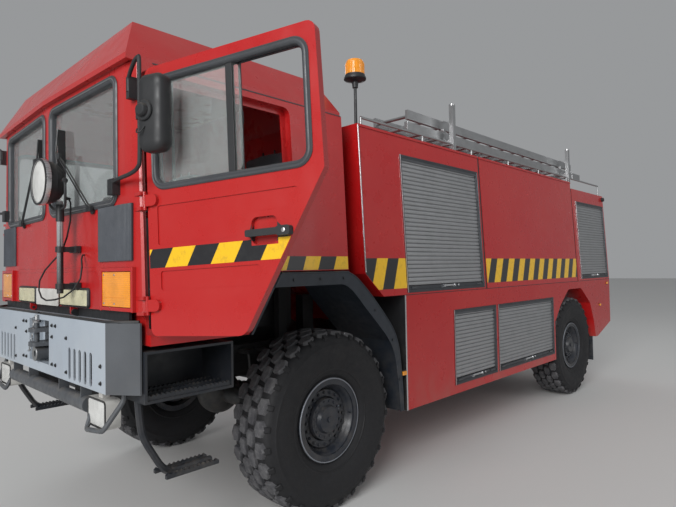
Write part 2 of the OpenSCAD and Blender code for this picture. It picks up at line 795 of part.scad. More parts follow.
// Recess for the fingers behind the handle
grip_x = [hinge_x + 651, hinge_x + 792];
grip_z = [1772, 1900];
grip_depth = 22;
module door_panel() {
    color("#d8202a") {
        difference() {
            across(0, door_t) polygon(door_points(0));
            across(-10, door_t + 10) polygon(window_points(0));
            stamp(upper_stamp);
            stamp(lower_stamp);
            across(-10, grip_depth) polygon(rounded(grip_x[0], grip_z[0], grip_x[1], grip_z[1], 30));
        }
    }
}
// Sliding panes: the front one is fixed, and the rear one is slid forward by slide
pane_t = 6;
module door_glass(slide) {
    middle = (window_x[0] + window_x[1]) / 2;
    color("#a8bcc0", 0.4) {
        intersection() {
            across(14, 14 + pane_t) polygon(window_points(-seat_gap));
            block([window_x[0], 0, window_z[0]], [middle + 50, door_t, window_z[1]]);
        }
        translate([-slide, 0, 0]) intersection() {
            across(14 + pane_t + seat_gap, 14 + 2 * pane_t + seat_gap) polygon(window_points(-seat_gap));
            block([middle + 10, 0, window_z[0]], [window_x[1], door_t, window_z[1]]);
        }
    }
}

// The door's hinge line: the left door is turned about it to where it stands
module turned_open() {
    on_left_side() translate([hinge_x, -hinge_out, 0]) rotate([0, 0, -open_deg])
        translate([-hinge_x, hinge_out, 0]) children();
}
// Pull handle over its recess, with the lock at its rear end
handle_x = [hinge_x + 637, hinge_x + 805];
handle_z = [1808, 1840];
lock_x = [handle_x[1], handle_x[1] + 70];
module door_handle() {
    across(-36, -20) polygon(rounded(handle_x[0], handle_z[0], lock_x[0] + 10, handle_z[1], 8));
    across(-36, 0) polygon(rounded(lock_x[0], handle_z[0] - 6, lock_x[1], handle_z[1] + 6, 12));
    across(-36, grip_depth) polygon(rounded(handle_x[0], handle_z[0], handle_x[0] + 24, handle_z[1], 8));
}

// A door's hinges: the door's leaf turns on a pin held by two knuckles of the cab
hinge_heights = [1480, 2020];
hinge_pin_r = 5;
hinge_r = 10;
hinge_h = 60;
hinge_end = 18;
module hinge_leaf(z) {
    difference() {
        union() {
            translate([hinge_x, -hinge_out, z]) cylinder(h = hinge_h, r = hinge_r);
            block([hinge_x, -hinge_out - 5, z], [hinge_x + 20, 0, z + hinge_h]);
            across(-hinge_out - 5, 0) polygon(outline([[hinge_x + 15, z, 0], [hinge_x + 84, z, 28],
                [hinge_x + 84, z + hinge_h, 28], [hinge_x + 15, z + hinge_h, 0]]));
        }
        translate([hinge_x, -hinge_out, z - 1]) cylinder(h = hinge_h + 2, r = hinge_pin_r + pin_gap);
    }
}
module hinge_seat(z) {
    low = z - hinge_end - seat_gap;
    for (h = [low, z + hinge_h + seat_gap]) {
        translate([hinge_x, -hinge_out, h]) cylinder(h = hinge_end, r = hinge_r);
        block([hinge_x - 24, -hinge_out - 5, h], [hinge_x - 1, cab_wall, h + hinge_end]);
    }
    translate([hinge_x, -hinge_out, low]) cylinder(h = hinge_h + 2 * hinge_end + 2 * seat_gap, r = hinge_pin_r);
}
module door_piece() {
    door_panel();
    color("#2a2b2e") door_handle();
    color("#c8161d") for (z = hinge_heights) hinge_leaf(z);
}
module door_left() { turned_open() door_piece(); }
module door_right() { mirror([0, 1, 0]) on_left_side() door_piece(); }
module door_glass_left() { turned_open() door_glass(365); }
module door_glass_right() { mirror([0, 1, 0]) on_left_side() door_glass(0); }

// Seats, dashboard and column, on the cab's floor
floor_z = cab_z + cab_wall - 15;
wheel_place = [-1080, -560, 2020];
column_tilt = 30;
column_axis = [sin(column_tilt), 0, cos(column_tilt)];
spindle_r = 12;
module seat(y) {
    block([-440, y - 240, cab_arch_z + cab_wall - 15], [-60, y + 240, cab_arch_z + 230]);
    block([-120, y - 240, cab_arch_z + 230], [0, y + 240, cab_arch_z + 900]);
}
module cab_interior() {
    color("#2b2c2f") {
        for (y = [-620, 620]) seat(y);
        block([cab_front + 80, -1080, 1800], [-1160, 1080, 1980]);
        block([sill_front + 50, -1080, floor_z], [sill_front + 80, 1080, 1800]);
        difference() {
            rod(wheel_place - 500 * column_axis, wheel_place - (30 + seat_gap) * column_axis, 25);
            rod(wheel_place - 95 * column_axis, wheel_place, spindle_r + pin_gap);
        }
    }
}
module steering_wheel() {
    color("#1c1c1e") translate(wheel_place) rotate([0, column_tilt, 0]) {
        rotate_extrude() translate([230, 0]) circle(15, $fn = 16);
        for (a = [90, 210, 330]) rotate([0, 0, a]) translate([0, -15, -8]) cube([225, 30, 14]);
        translate([0, 0, -30]) cylinder(h = 45, r = 45);
        translate([0, 0, -90]) cylinder(h = 61, r = spindle_r);
    }
}

module wipers() {
    color("#161617") both_sides() on_front() {
        along(-18, -8) polygon([[480, 2040], [500, 2040], [330, 2500], [318, 2500]]);
        translate([0, 490, 2045]) rotate([0, 90, 0]) translate([0, 0, -18]) cylinder(h = 18 - seat_gap, r = 18);
    }
}

// Sheets that follow the cab's front and corners, from low to high above its skin
module front_sheet(low, high) {
    difference() {
        cab_loft(-high);
        cab_loft(-low);
    }
}

// Front lamps, as [inner Y, outer Y, bottom, top]
lamp_places = [[245, 640, 1490, 1582], [843, 1150, 1500, 1685]];
module cab_lamps() {
    color("#e08a1e") intersection() {
        front_sheet(seat_gap, 16);
        both_sides() for (p = lamp_places) block([cab_nose - 60, -p[1], p[2]], [cab_front + 60, -p[0], p[3]]);
    }
}

// Dark panels round the cab's corners, from the front to just before the doors' hinges
corner_inner = 780;
corner_z = [1745, 2045];
module corner_panels() {
    color("#3b3f47") intersection() {
        front_sheet(seat_gap, 13);
        both_sides() block([cab_nose - 60, -cab_half - 60, corner_z[0]],
                [hinge_x - 28, -corner_inner, corner_z[1]]);
    }
}

// Mirrors: a bent tube on the cab's front corner, with the housing on a ball outside it
mirror_x = -1440;
mirror_tube_y = 1220;
mirror_tube_r = 12;
mirror_housing_y = [1330, 1510];
mirror_housing_z = [2250, 2650];
mirror_ball_z = 2450;
module mirror_piece() {
    color("#232428") {
        difference() {
            union() {
                tube(bent([[mirror_x + 45, -1090, 2750], [mirror_x, -1160, 2750],
                    [mirror_x, -mirror_tube_y, 2700],
                    [mirror_x, -mirror_tube_y, 2240], [mirror_x, -1140, 2190], [mirror_x, -960, 2160]], 40),
                    mirror_tube_r, 8);
                block([mirror_x - 14, -985, 2095], [mirror_x + 60, -925, 2185]);
            }
            cab_loft(-seat_gap);
        }
        rod([mirror_x, -mirror_tube_y, mirror_ball_z],
            [mirror_x, -mirror_housing_y[0] - 20, mirror_ball_z], 14);
        translate([mirror_x, -mirror_tube_y, mirror_ball_z]) sphere(34, $fn = 24);
        along(mirror_x - 45, mirror_x + 45) polygon(rounded(-mirror_housing_y[1], mirror_housing_z[0],
            -mirror_housing_y[0], mirror_housing_z[1], 38));
    }
}
module mirror_left() { mirror_piece(); }
module mirror_right() { mirror([0, 1, 0]) mirror_piece(); }

// Search lamp on its post in front of the cab
post_x = -1530;
post_z = 1565;
lamp_depth = 150;
lamp_rim = 12;
module search_lamp() {
    color("#1d2430") {
        translate([lamp_x + 60, lamp_y, lamp_z]) rotate([0, -90, 0]) rotate_extrude($fn = 48)
            polygon([
                [0, 0],
                for (a = [15 : 15 : 75]) [(lamp_r - 8) * sin(a), (lamp_depth - 40) * (1 - cos(a))],
                [lamp_r - 8, lamp_depth - 34], [lamp_r, lamp_depth - 34], [lamp_r, lamp_depth],
                [lamp_r - lamp_rim, lamp_depth], [lamp_r - lamp_rim, lamp_depth - 10], [0, lamp_depth - 4],
            ]);
        translate([post_x, lamp_y, post_z]) cylinder(h = lamp_z - lamp_r - post_z + 30, r = 18);
        for (z = [1607, 1825])
            block([post_x, lamp_y - 20, z - 15], [front_x(abs(lamp_y) - 20) - seat_gap, lamp_y + 20, z + 15]);
    }
}

// The search lamp's free cable, from its gland to the cab's front
cable_r = 5;
cable_points = [
    [lamp_x + 60 + seat_gap, lamp_y, 2130], [-1482, lamp_y, 2130], [-1470, lamp_y, 2105], [-1472, lamp_y, 2000],
    [-1488, -470, 1900], [-1495, -440, 1850], [-1510, -415, 1800], [-1530, -350, 1755],
    [-1540, -250, 1705], [-1545, -165, 1640], [-1545, -150, 1580], [-1545, -200, 1535],
    [-1550, -300, 1520], [-1560, -400, 1525], [-1560, -480, 1530], [-1540, -560, 1545],
    [-1505, -620, 1590], [-1475, -640, 1650], [-1462, -630, 1720], [-1455, -605, 1765],
    [-1438, -575, 1789], [front_x(575) - 2 * seat_gap, -575, 1790],
];
function tangent(p, i) = let (n = len(p), d = p[min(i + 1, n - 1)] - p[max(i - 1, 0)]) d / norm(d);
module tube(p, r, sides = 8, up = [1, 0.2, 0.1]) {
    rings = [for (i = [0 : len(p) - 1])
        let (t = tangent(p, i), u0 = cross(t, up), u = u0 / norm(u0), v = cross(t, u))
        for (k = [0 : sides - 1]) p[i] + r * (cos(360 * k / sides) * u + sin(360 * k / sides) * v)];
    n = len(p);
    polyhedron(rings, concat(
        [[for (k = [0 : sides - 1]) k]],
        [for (i = [0 : n - 2], k = [0 : sides - 1]) let (a = i * sides + k, b = i * sides + (k + 1) % sides)
            [a, a + sides, b + sides, b]],
        [[for (k = [sides - 1 : -1 : 0]) (n - 1) * sides + k]]));
}
module lamp_cable() {
    color("#111111") tube(cable_points, cable_r);
}

// Body behind the cab

module body_section(top) {
    tuck = body_tuck * (top - body_z) / (body_top - body_z);
    polygon([[-body_half, body_z], [body_half, body_z], [body_half - tuck, top], [-body_half + tuck, top]]);
}

// The body's left side: local Y is 0 on its skin and grows inward, Z is from the ground
body_lean = atan(body_tuck / (body_top - body_z));
module on_body_side() {
    translate([0, -body_half, body_z]) rotate([-body_lean, 0, 0]) translate([0, 0, -body_z]) children();
}

// Shutter openings on the leaning sides, as [front, rear, bottom, top]
upper_shutters = [[body_front + 506, seam_front - 27, 1475, 2620],
    [seam_rear + 110, body_rear - 40, 1485, 2540]];
// Shutter openings in the side lockers, as [front, rear, bottom, top]
skirt_rear = wheelbase - skirt_clear;
lower_shutters = [[skirt_front + 730, skirt_front + 1530, 610, 1290],
    [skirt_front + 1570, skirt_rear - 45, 610, 1290]];

module front_locker() {
    color("#c8161d") difference() {
        intersection() {
            along(body_front, seam_front) body_section(body_top);
            across(-2000, 2000) polygon([[body_front, body_top + 10], [body_front, 1640], [392, 1593],
                [544, body_z], [seam_front, body_z - 10], [seam_front, body_top + 10]]);
        }
        both_sides() on_body_side() across(-10, recess) shutter_outline(upper_shutters[0], 0);
    }
}
module shutter_outline(s, g) {
    polygon([[s[0] - g, s[2] - g], [s[1] + g, s[2] - g], [s[1] + g, s[3] + g], [s[0] - g, s[3] + g]]);
}
// The tank stands back a little from its neighbours, behind a channel
channel = 34;
module tank() {
    color("#c8161d") {
        along(seam_front + channel, seam_rear - channel) body_section(body_top);
        along(seam_front + seat_gap, seam_rear - seat_gap)
            polygon([[-body_half + 60, body_z], [body_half - 60, body_z],
                [body_half - body_tuck - 60, body_top - 40],
                [-body_half + body_tuck + 60, body_top - 40]]);
    }
}
rear_door_half = 850;
rear_door_z = [1560, 2560];
module rear_locker() {
    color("#c8161d") difference() {
        along(seam_rear, body_rear) body_section(rear_top);
        both_sides() on_body_side() across(-10, recess) shutter_outline(upper_shutters[1], 0);
        along(body_rear - recess, body_rear + 10) rear_door_outline(0);
    }
}
module rear_door_outline(g) {
    polygon([[-rear_door_half - g, rear_door_z[0] - g], [rear_door_half + g, rear_door_z[0] - g],
        [rear_door_half + g, rear_door_z[1] + g], [-rear_door_half - g, rear_door_z[1] + g]]);
}

// Side lockers below the body, and its skirt over the rear wheel, with the arch set from the axle
locker_depth = 550;
arch_top = 1365;
arch_side = 440;
module side_lockers() {
    color("#c8161d") both_sides() {
        difference() {
            block([skirt_front, -body_half, skirt_z], [skirt_rear, -body_half + locker_depth, body_z]);
            for (s = lower_shutters) translate([0, -body_half, 0]) across(-10, recess) shutter_outline(s, 0);
        }
        translate([0, -body_half, 0]) across(0, arch_side) polygon(outline([
            [skirt_rear, 1000, 0], [wheelbase - 650, 1000, 20], [wheelbase - 480, 1180, 90],
            [wheelbase - 210, arch_top, 120], [wheelbase + 230, arch_top, 120], [wheelbase + 560, 1150, 80],
            [wheelbase + 690, 900, 60], [wheelbase + 755, 664, 0], [wheelbase + 840, 664, 0],
            [body_rear, 830, 0], [body_rear, body_z, 0], [skirt_rear, body_z, 0],
        ]));
    }
}

// A roller shutter's curtain seen along its slats: each slat is crowned, from z0 to z1
slat_pitch = 45;
curtain_y = [8, recess - seat_gap];
function curtain(z0, z1) = let (n = round((z1 - z0) / slat_pitch), p = (z1 - z0) / n) [
    [curtain_y[1], z1], [curtain_y[1], z0],
    for (i = [0 : n - 1]) each [[curtain_y[0] + 6, z0 + i * p], [curtain_y[0], z0 + (i + 0.25) * p],
        [curtain_y[0], z0 + (i + 0.75) * p]],
    [curtain_y[0] + 6, z1],
];
frame_w = 24;
frame_out = 5;
bar_h = 55;
module shutter(s) {
    along(s[0] + frame_w - 1, s[1] - frame_w + 1) polygon(curtain(s[2] + bar_h, s[3] - frame_w + 1));
    difference() {
        across(-frame_out, recess - seat_gap) shutter_outline(s, -seat_gap);
        across(-frame_out - 1, recess) polygon([[s[0] + frame_w, s[2] + frame_w],
            [s[1] - frame_w, s[2] + frame_w],
            [s[1] - frame_w, s[3] - frame_w], [s[0] + frame_w, s[3] - frame_w]]);
    }
    block([s[0] + frame_w - 1, 4, s[2] + frame_w - 1],
            [s[1] - frame_w + 1, recess - seat_gap, s[2] + bar_h + 1]);
    bar_x(1, s[2] + bar_h - 12, 9, (s[0] + s[1]) / 2 - 90, (s[0] + s[1]) / 2 + 90);
}
module shutters() {
    color("#9a9da0") {
        both_sides() {
            for (s = upper_shutters) on_body_side() shutter(s);
            for (s = lower_shutters) translate([0, -body_half, 0]) shutter(s);
        }
        translate([body_rear, 0, 0]) rotate([0, 0, 90])
            shutter([-rear_door_half, rear_door_half, rear_door_z[0], rear_door_z[1]]);
    }
}

// Mudguards: an arch over each front wheel, and a flap behind each rear wheel
guard_depth = 560;
flap_x = wheelbase + 764;
module mudguards() {
    top = cab_arch_z - 8;
    color("#1a1b1d") both_sides() {
        translate([0, -body_half, 0]) across(0, guard_depth) polygon([
            [sill_rear + 13, cab_z - 4], [rise_x + 11, top], [150, top], [331, 1446], [669, 1114], [756, 544],
            [741, 544], [655, 1108], [322, 1434], [142, top - 15], [rise_x + 20, top - 15],
                [sill_rear + 29, cab_z - 4],
        ]);
        bar_y(680, 1000, 12, -body_half + guard_depth - 10, -rail_y - rail_w / 2 - seat_gap);
        bar_y(-600, 1470, 12, -body_half + guard_depth - 10, -460);
        block([-620, -475, 1060], [-580, -rail_y - rail_w / 2 - seat_gap, 1470]);
        block([flap_x, -1200, 330], [flap_x + 12, -860, 664 - seat_gap]);
    }
}

// Roof: a low rail down each side, and on the left two posts that hold an extension ladder
rail_rise = 65;
roof_rail_y = 1150;
roof_rail_r = 11;
post_places = [1745, 4630];
post_size = 44;
post_h = 445;
ladder_y = [-1060, -620];
ladder_x = [1130, 5310];
ladder_z = [body_top + 100, body_top + 225];
side_h = 84;
side_t = 28;
rung_pitch = 280;
// The upper section's sides stand in from the lower one's by nest
nest = 35;
module roof_gear() {
    color("#a9acb0") {
        both_sides() {
            rod([body_front + 80, -roof_rail_y, body_top + rail_rise],
                [body_rear - 80, -roof_rail_y, body_top + rail_rise],
                roof_rail_r);
            for (x = [body_front + 80, 1250, 2100, 2900, 3700, seam_rear - 60])
                rod([x, -roof_rail_y, body_top], [x, -roof_rail_y, body_top + rail_rise], 9);
            rod([body_rear - 80, -roof_rail_y, rear_top],
                [body_rear - 80, -roof_rail_y, body_top + rail_rise], 9);
        }
        for (x = post_places) {
            block([x - post_size / 2, -1178, body_top],
                [x + post_size / 2, -1178 + post_size, body_top + post_h]);
            block([x - 20, -1140, ladder_z[0] - 40], [x + 20, ladder_y[1] + 20, ladder_z[0] + 1]);
            block([x - 20, ladder_y[1] - 20, body_top], [x + 20, ladder_y[1] + 20, ladder_z[0] - 30]);
        }
        for (k = [0, 1]) ladder(ladder_x[0] + 60 * k, ladder_x[1] - 240 * k, nest * k, ladder_z[k]);
        for (x = post_places, y = [ladder_y[0] - 12, ladder_y[1] - nest - 12])
            block([x - 15, y, ladder_z[0] + side_h - 1], [x + 15, y + nest + 24, ladder_z[1] + 1]);
    }
}
// One section of the ladder, drawn in by t at its sides
module ladder(x0, x1, t, z) {
    for (y = [ladder_y[0] + t, ladder_y[1] - t]) block([x0, y - side_t / 2, z],
            [x1, y + side_t / 2, z + side_h]);
    for (i = [0 : floor((x1 - x0 - 100) / rung_pitch)])
        bar_y(x0 + 60 + i * rung_pitch, z + side_h / 2, 15, ladder_y[0] + t, ladder_y[1] - t);
}

// Beacon: a lens on a flared base, on its own thin mast
beacon_x = 445;
beacon_y = -1080;
beacon_rise = 363;
module beacon() {
    color("#e07a10") {
        translate([beacon_x, beacon_y, body_top]) cylinder(h = beacon_rise, r = 12);
        translate([beacon_x, beacon_y, body_top]) cylinder(h = 8, r = 45);
        translate([beacon_x, beacon_y, body_top + beacon_rise - 45]) rotate_extrude() polygon([
            [0, 0], [22, 0], [26, 42], [84, 62], [84, 74], [66, 86], [66, 95], [74, 98], [74, 190], [62, 214],
            [30, 226], [0, 228]]);
    }
}

// Rear towing eye: a plate with a cross bore
eye_bore_r = 30;
eye_x = body_rear + 5;
eye_z = 770;
module tow_eye() {
    difference() {
        across(-rail_y - 15, -rail_y + 15) {
            translate([eye_x, eye_z]) circle(55);
            translate([eye_x - 55, eye_z]) square([110, 900 - eye_z]);
        }
        bar_y(eye_x, eye_z, eye_bore_r, -rail_y - 20, -rail_y + 20);
    }
}
// Round rear lamps, by height
rear_lamp_z = [1085, 1225, 1365];
rear_lamp_r = 58;
module rear_fittings() {
    color("#26272a") {
        along(body_rear + seat_gap, body_rear + 60) polygon(rounded(-1200, 900, 1200, 1000, 30));
        both_sides() {
            block([rail_rear + seat_gap, -rail_y - rail_w / 2, 900],
                [body_rear + 10, -rail_y + rail_w / 2, 1000]);
            for (z = rear_lamp_z) bar_x(-1140, z, rear_lamp_r, body_rear + seat_gap, body_rear + 34);
            tow_eye();
        }
    }
}

place() chassis_frame();
place() front_axle();
place() rear_axle();
place() knuckle_left();
place() knuckle_right();
place() tie_rod();
place() front_suspension();
place() rear_suspension();
place() engine_block();
place() driveline();
place() at_wheel(0, -1) tyre();  // tyre_front_left
place() at_wheel(0, 1) tyre();  // tyre_front_right
place() at_wheel(wheelbase, -1) tyre();  // tyre_rear_left
place() at_wheel(wheelbase, 1) tyre();  // tyre_rear_right
place() at_wheel(0, -1) rim();  // rim_front_left
place() at_wheel(0, 1) rim();  // rim_front_right
place() at_wheel(wheelbase, -1) rim();  // rim_rear_left
place() at_wheel(wheelbase, 1) rim();  // rim_rear_right
place() bumper();
place() tow_coupling();
place() fog_lamps();
place() front_steps();
place() cab_shell();
place() cab_roof();
place() windscreen();
place() cab_lamps();
place() corner_panels();
place() door_left();
place() door_right();
place() door_glass_left();
place() door_glass_right();
place() cab_interior();
place() steering_wheel();
place() wipers();
place() mirror_left();
place() mirror_right();
place() search_lamp();
place() lamp_cable();
place() front_locker();
place() tank();
place() rear_locker();
place() side_lockers();
place() shutters();
place() mudguards();
place() roof_gear();
place() beacon();
place() rear_fittings();
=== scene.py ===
"""Looks of an airport fire truck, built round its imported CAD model. Lengths are in metres.

Places are given in the vehicle's own axes, as the CAD does: X rearward from the front axle,
Y to the vehicle's right from its centreline, Z up from the ground.
"""
import json
import math

import bmesh
import bpy
from mathutils import Matrix, Vector


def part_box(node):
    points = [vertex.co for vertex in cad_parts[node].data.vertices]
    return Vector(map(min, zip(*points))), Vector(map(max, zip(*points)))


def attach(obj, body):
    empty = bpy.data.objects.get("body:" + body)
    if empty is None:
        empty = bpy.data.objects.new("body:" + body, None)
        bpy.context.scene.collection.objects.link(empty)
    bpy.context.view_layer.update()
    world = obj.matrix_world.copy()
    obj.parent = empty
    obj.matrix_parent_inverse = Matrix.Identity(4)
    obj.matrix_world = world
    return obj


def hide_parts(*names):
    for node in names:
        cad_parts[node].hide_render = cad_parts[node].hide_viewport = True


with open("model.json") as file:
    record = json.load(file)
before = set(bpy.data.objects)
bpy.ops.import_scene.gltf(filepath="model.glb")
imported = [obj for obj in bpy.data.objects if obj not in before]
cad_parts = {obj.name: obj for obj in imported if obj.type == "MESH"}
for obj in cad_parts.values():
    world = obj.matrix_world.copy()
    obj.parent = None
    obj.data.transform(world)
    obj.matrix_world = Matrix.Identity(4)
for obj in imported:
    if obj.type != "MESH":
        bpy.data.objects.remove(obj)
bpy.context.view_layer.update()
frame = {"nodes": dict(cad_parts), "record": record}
nodes = frame["nodes"]

# The vehicle's axes in the row frame
axle_low, axle_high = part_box("rim_front_left")
rail_low, rail_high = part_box("chassis_frame")
ORIGIN = Vector(((axle_low.x + axle_high.x) / 2, (rail_low.y + rail_high.y) / 2, 0))
VEHICLE = Matrix.Translation(ORIGIN)
OTHER_SIDE = VEHICLE @ Matrix.Scale(-1, 4, (0, 1, 0)) @ VEHICLE.inverted()

# Sizes that the CAD shares
WHEELBASE, TRACK_HALF, WHEEL_Z = 4.5, 1.045, 0.625
CAB_NOSE, CAB_FRONT, CAB_REAR = -1.445, -1.412, 0.17
CAB_HALF, CAB_Z = 1.245, 1.3
CAB_LEAN = math.radians(2.5)
HINGE_X, HINGE_OUT, DOOR_L = -1.372, 0.014, 1.045
DOOR_OPEN = math.radians(72.5)
DOOR_Z, BELT_Z = 1.355, 2.084
DOOR_T = 0.045
WINDOW = (HINGE_X + 0.068, 2.12, HINGE_X + DOOR_L - 0.075, 2.67)
WINDOW_R = 0.06
PANE = (0.07, 2.075, 0.975, 2.74)
PANE_R = 0.05
BODY_FRONT, BODY_REAR = 0.342, 5.9
BODY_HALF, BODY_Z, BODY_TOP, BODY_TUCK = 1.25, 1.461, 2.785, 0.065
SEAM_FRONT, SEAM_REAR, CHANNEL = 2.147, 4.65, 0.034
SKIRT_Z, SKIRT_FRONT = 0.534, 0.81
UPPER_SHUTTERS = ((0.848, 1.475, 2.12, 2.62), (4.76, 1.485, 5.86, 2.54))
LOWER_SHUTTERS = ((1.54, 0.61, 2.34, 1.29), (2.38, 0.61, 3.79, 1.29))
REAR_SHUTTER = (-0.85, 1.56, 0.85, 2.56)
SHUTTER_FRAME, SHUTTER_BAR = 0.024, 0.055
BUMPER_X, BUMPER_Z, BUMPER_TOP = -1.5, 1.05, 1.42


def moved(x, y, z):
    """A shift of the vehicle's axes."""
    return Matrix.Translation((x, y, z))


def turn(degrees, axis):
    """A turn about one axis, in degrees."""
    return Matrix.Rotation(math.radians(degrees), 4, axis)


def fitted(x, y, z, degrees=0, axis="X", on=VEHICLE):
    """A small part's own axes: shifted from a place, then turned."""
    return on @ moved(x, y, z) @ turn(degrees, axis)


def leaning(half, base, lean):
    """A left side that leans inward: local Y is 0 on its skin and grows inward."""
    return VEHICLE @ moved(0, -half, base) @ Matrix.Rotation(-lean, 4, "X") @ moved(0, 0, -base)


CAB_SIDE = leaning(CAB_HALF, CAB_Z, CAB_LEAN)
BODY_SIDE = leaning(BODY_HALF, BODY_Z, math.atan(BODY_TUCK / (BODY_TOP - BODY_Z)))
SKIRT_SIDE = VEHICLE @ moved(0, -BODY_HALF, 0)
OPEN_DOOR = (CAB_SIDE @ moved(HINGE_X, -HINGE_OUT, 0) @ Matrix.Rotation(-DOOR_OPEN, 4, "Z")
             @ moved(-HINGE_X, HINGE_OUT, 0))
SHUT_DOOR = OTHER_SIDE @ CAB_SIDE
# Half of the cab's front: local X is 0 on its skin, Y runs to the vehicle's right
FRONT_TURN = math.atan(CAB_FRONT - CAB_NOSE)
RIGHT_FRONT = VEHICLE @ moved(CAB_NOSE, 0, 0) @ Matrix.Rotation(-FRONT_TURN, 4, "Z")
LEFT_FRONT = OTHER_SIDE @ RIGHT_FRONT
# The rear: local Y is 0 on its skin and grows forward
REAR_SIDE = fitted(BODY_REAR, 0, 0, 90, "Z")
DOORS = ((OPEN_DOOR, "left"), (SHUT_DOOR, "right"))


def at(x, y, z):
    """A point of the vehicle's axes in the row frame."""
    return ORIGIN + Vector((x, y, z))


# Camera, solved from the photograph
EYE = (-2.6566, -3.8339, 1.6864)
YAW, PITCH, ROLL = 0.7642, 0.0275, -0.0173
FOCAL_PX, IMAGE_W = 530.76, 676
SENSOR = 36


def make_camera():
    """The photograph's view of the vehicle."""
    forward = Vector((math.cos(PITCH) * math.cos(YAW), math.cos(PITCH) * math.sin(YAW), math.sin(PITCH)))
    level = forward.cross(Vector((0, 0, 1))).normalized()
    over = level.cross(forward)
    right = level * math.cos(ROLL) + over * math.sin(ROLL)
    up = over * math.cos(ROLL) - level * math.sin(ROLL)
    data = bpy.data.cameras.new("camera")
    data.sensor_width = SENSOR
    data.lens = FOCAL_PX / IMAGE_W * SENSOR
    camera = stood("camera", data)
    camera.matrix_world = Matrix.Translation(at(*EYE)) @ Matrix((right, up, -forward)).transposed().to_4x4()
    bpy.context.scene.camera = camera


def stood(name, data, body=None):
    """An object in the scene, riding on a body if it is a piece."""
    thing = bpy.data.objects.new(name, data)
    bpy.context.scene.collection.objects.link(thing)
    if body:
        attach(thing, body)
    return thing


# The search lamp's cable: the points of its route, in millimetres
CABLE_R = 0.005
CABLE_POINTS = [
    (-1499.7, -480, 2130), (-1482, -480, 2130), (-1470, -480, 2105), (-1472, -480, 2000),
    (-1488, -470, 1900), (-1495, -440, 1850), (-1510, -415, 1800), (-1530, -350, 1755),
    (-1540, -250, 1705), (-1545, -165, 1640), (-1545, -150, 1580), (-1545, -200, 1535),
    (-1550, -300, 1520), (-1560, -400, 1525), (-1560, -480, 1530), (-1540, -560, 1545),
    (-1505, -620, 1590), (-1475, -640, 1650), (-1462, -630, 1720), (-1455, -605, 1765),
    (-1438, -575, 1789), (-1426.6, -575, 1790),
]


# Shapes

def rounded(x0, y0, x1, y1, r, steps=6):
    """A rectangle with round corners, as points in a plane."""
    corners = ((x1 - r, y1 - r, 0), (x0 + r, y1 - r, 90), (x0 + r, y0 + r, 180), (x1 - r, y0 + r, 270))
    return [(cx + r * math.cos(math.radians(start + 90 * i / steps)),
             cy + r * math.sin(math.radians(start + 90 * i / steps)))
            for cx, cy, start in corners for i in range(steps + 1)]


def grown(box, r, by, steps=6):
    """The round rectangle of a box (x0, z0, x1, z1), grown by a distance."""
    x0, z0, x1, z1 = box
    return rounded(x0 - by, z0 - by, x1 + by, z1 + by, max(r + by, 0.001), steps)


def circle(x, y, r, steps=24):
    """Points round a circle."""
    return [(x + r * math.cos(math.tau * i / steps), y + r * math.sin(math.tau * i / steps))
            for i in range(steps)]


def clip(outline, inside):
    """The part of a convex outline where inside(point), a straight measure, is not below 0."""
    kept = []
    for a, b in zip(outline, outline[1:] + outline[:1]):
        va, vb = inside(a), inside(b)
        if va >= 0:
            kept.append(a)
        if (va < 0) != (vb < 0):
            t = va / (va - vb)
            kept.append((a[0] + t * (b[0] - a[0]), a[1] + t * (b[1] - a[1])))
    return kept


def smooth_path(points, per_stretch=6):
    """A curve through points, by Catmull-Rom stretches."""
    pts = [Vector(p) for p in points]
    pts = [2 * pts[0] - pts[1]] + pts + [2 * pts[-1] - pts[-2]]
    path = []
    for a, b, c, d in zip(pts, pts[1:], pts[2:], pts[3:]):
        for k in range(per_stretch):
            t = k / per_stretch
            path.append(0.5 * (2 * b + (c - a) * t + (2 * a - 5 * b + 4 * c - d) * t * t
                               + (3 * b - 3 * c + d - a) * t ** 3))
    return path + [pts[-2]]


# How a flat outline stands in space: its two coordinates and the depth, as X, Y, Z
PLANES = {
    "XZ": lambda a, b, depth: (a, depth, b),
    "YZ": lambda a, b, depth: (depth, a, b),
    "XY": lambda a, b, depth: (a, b, depth),
}


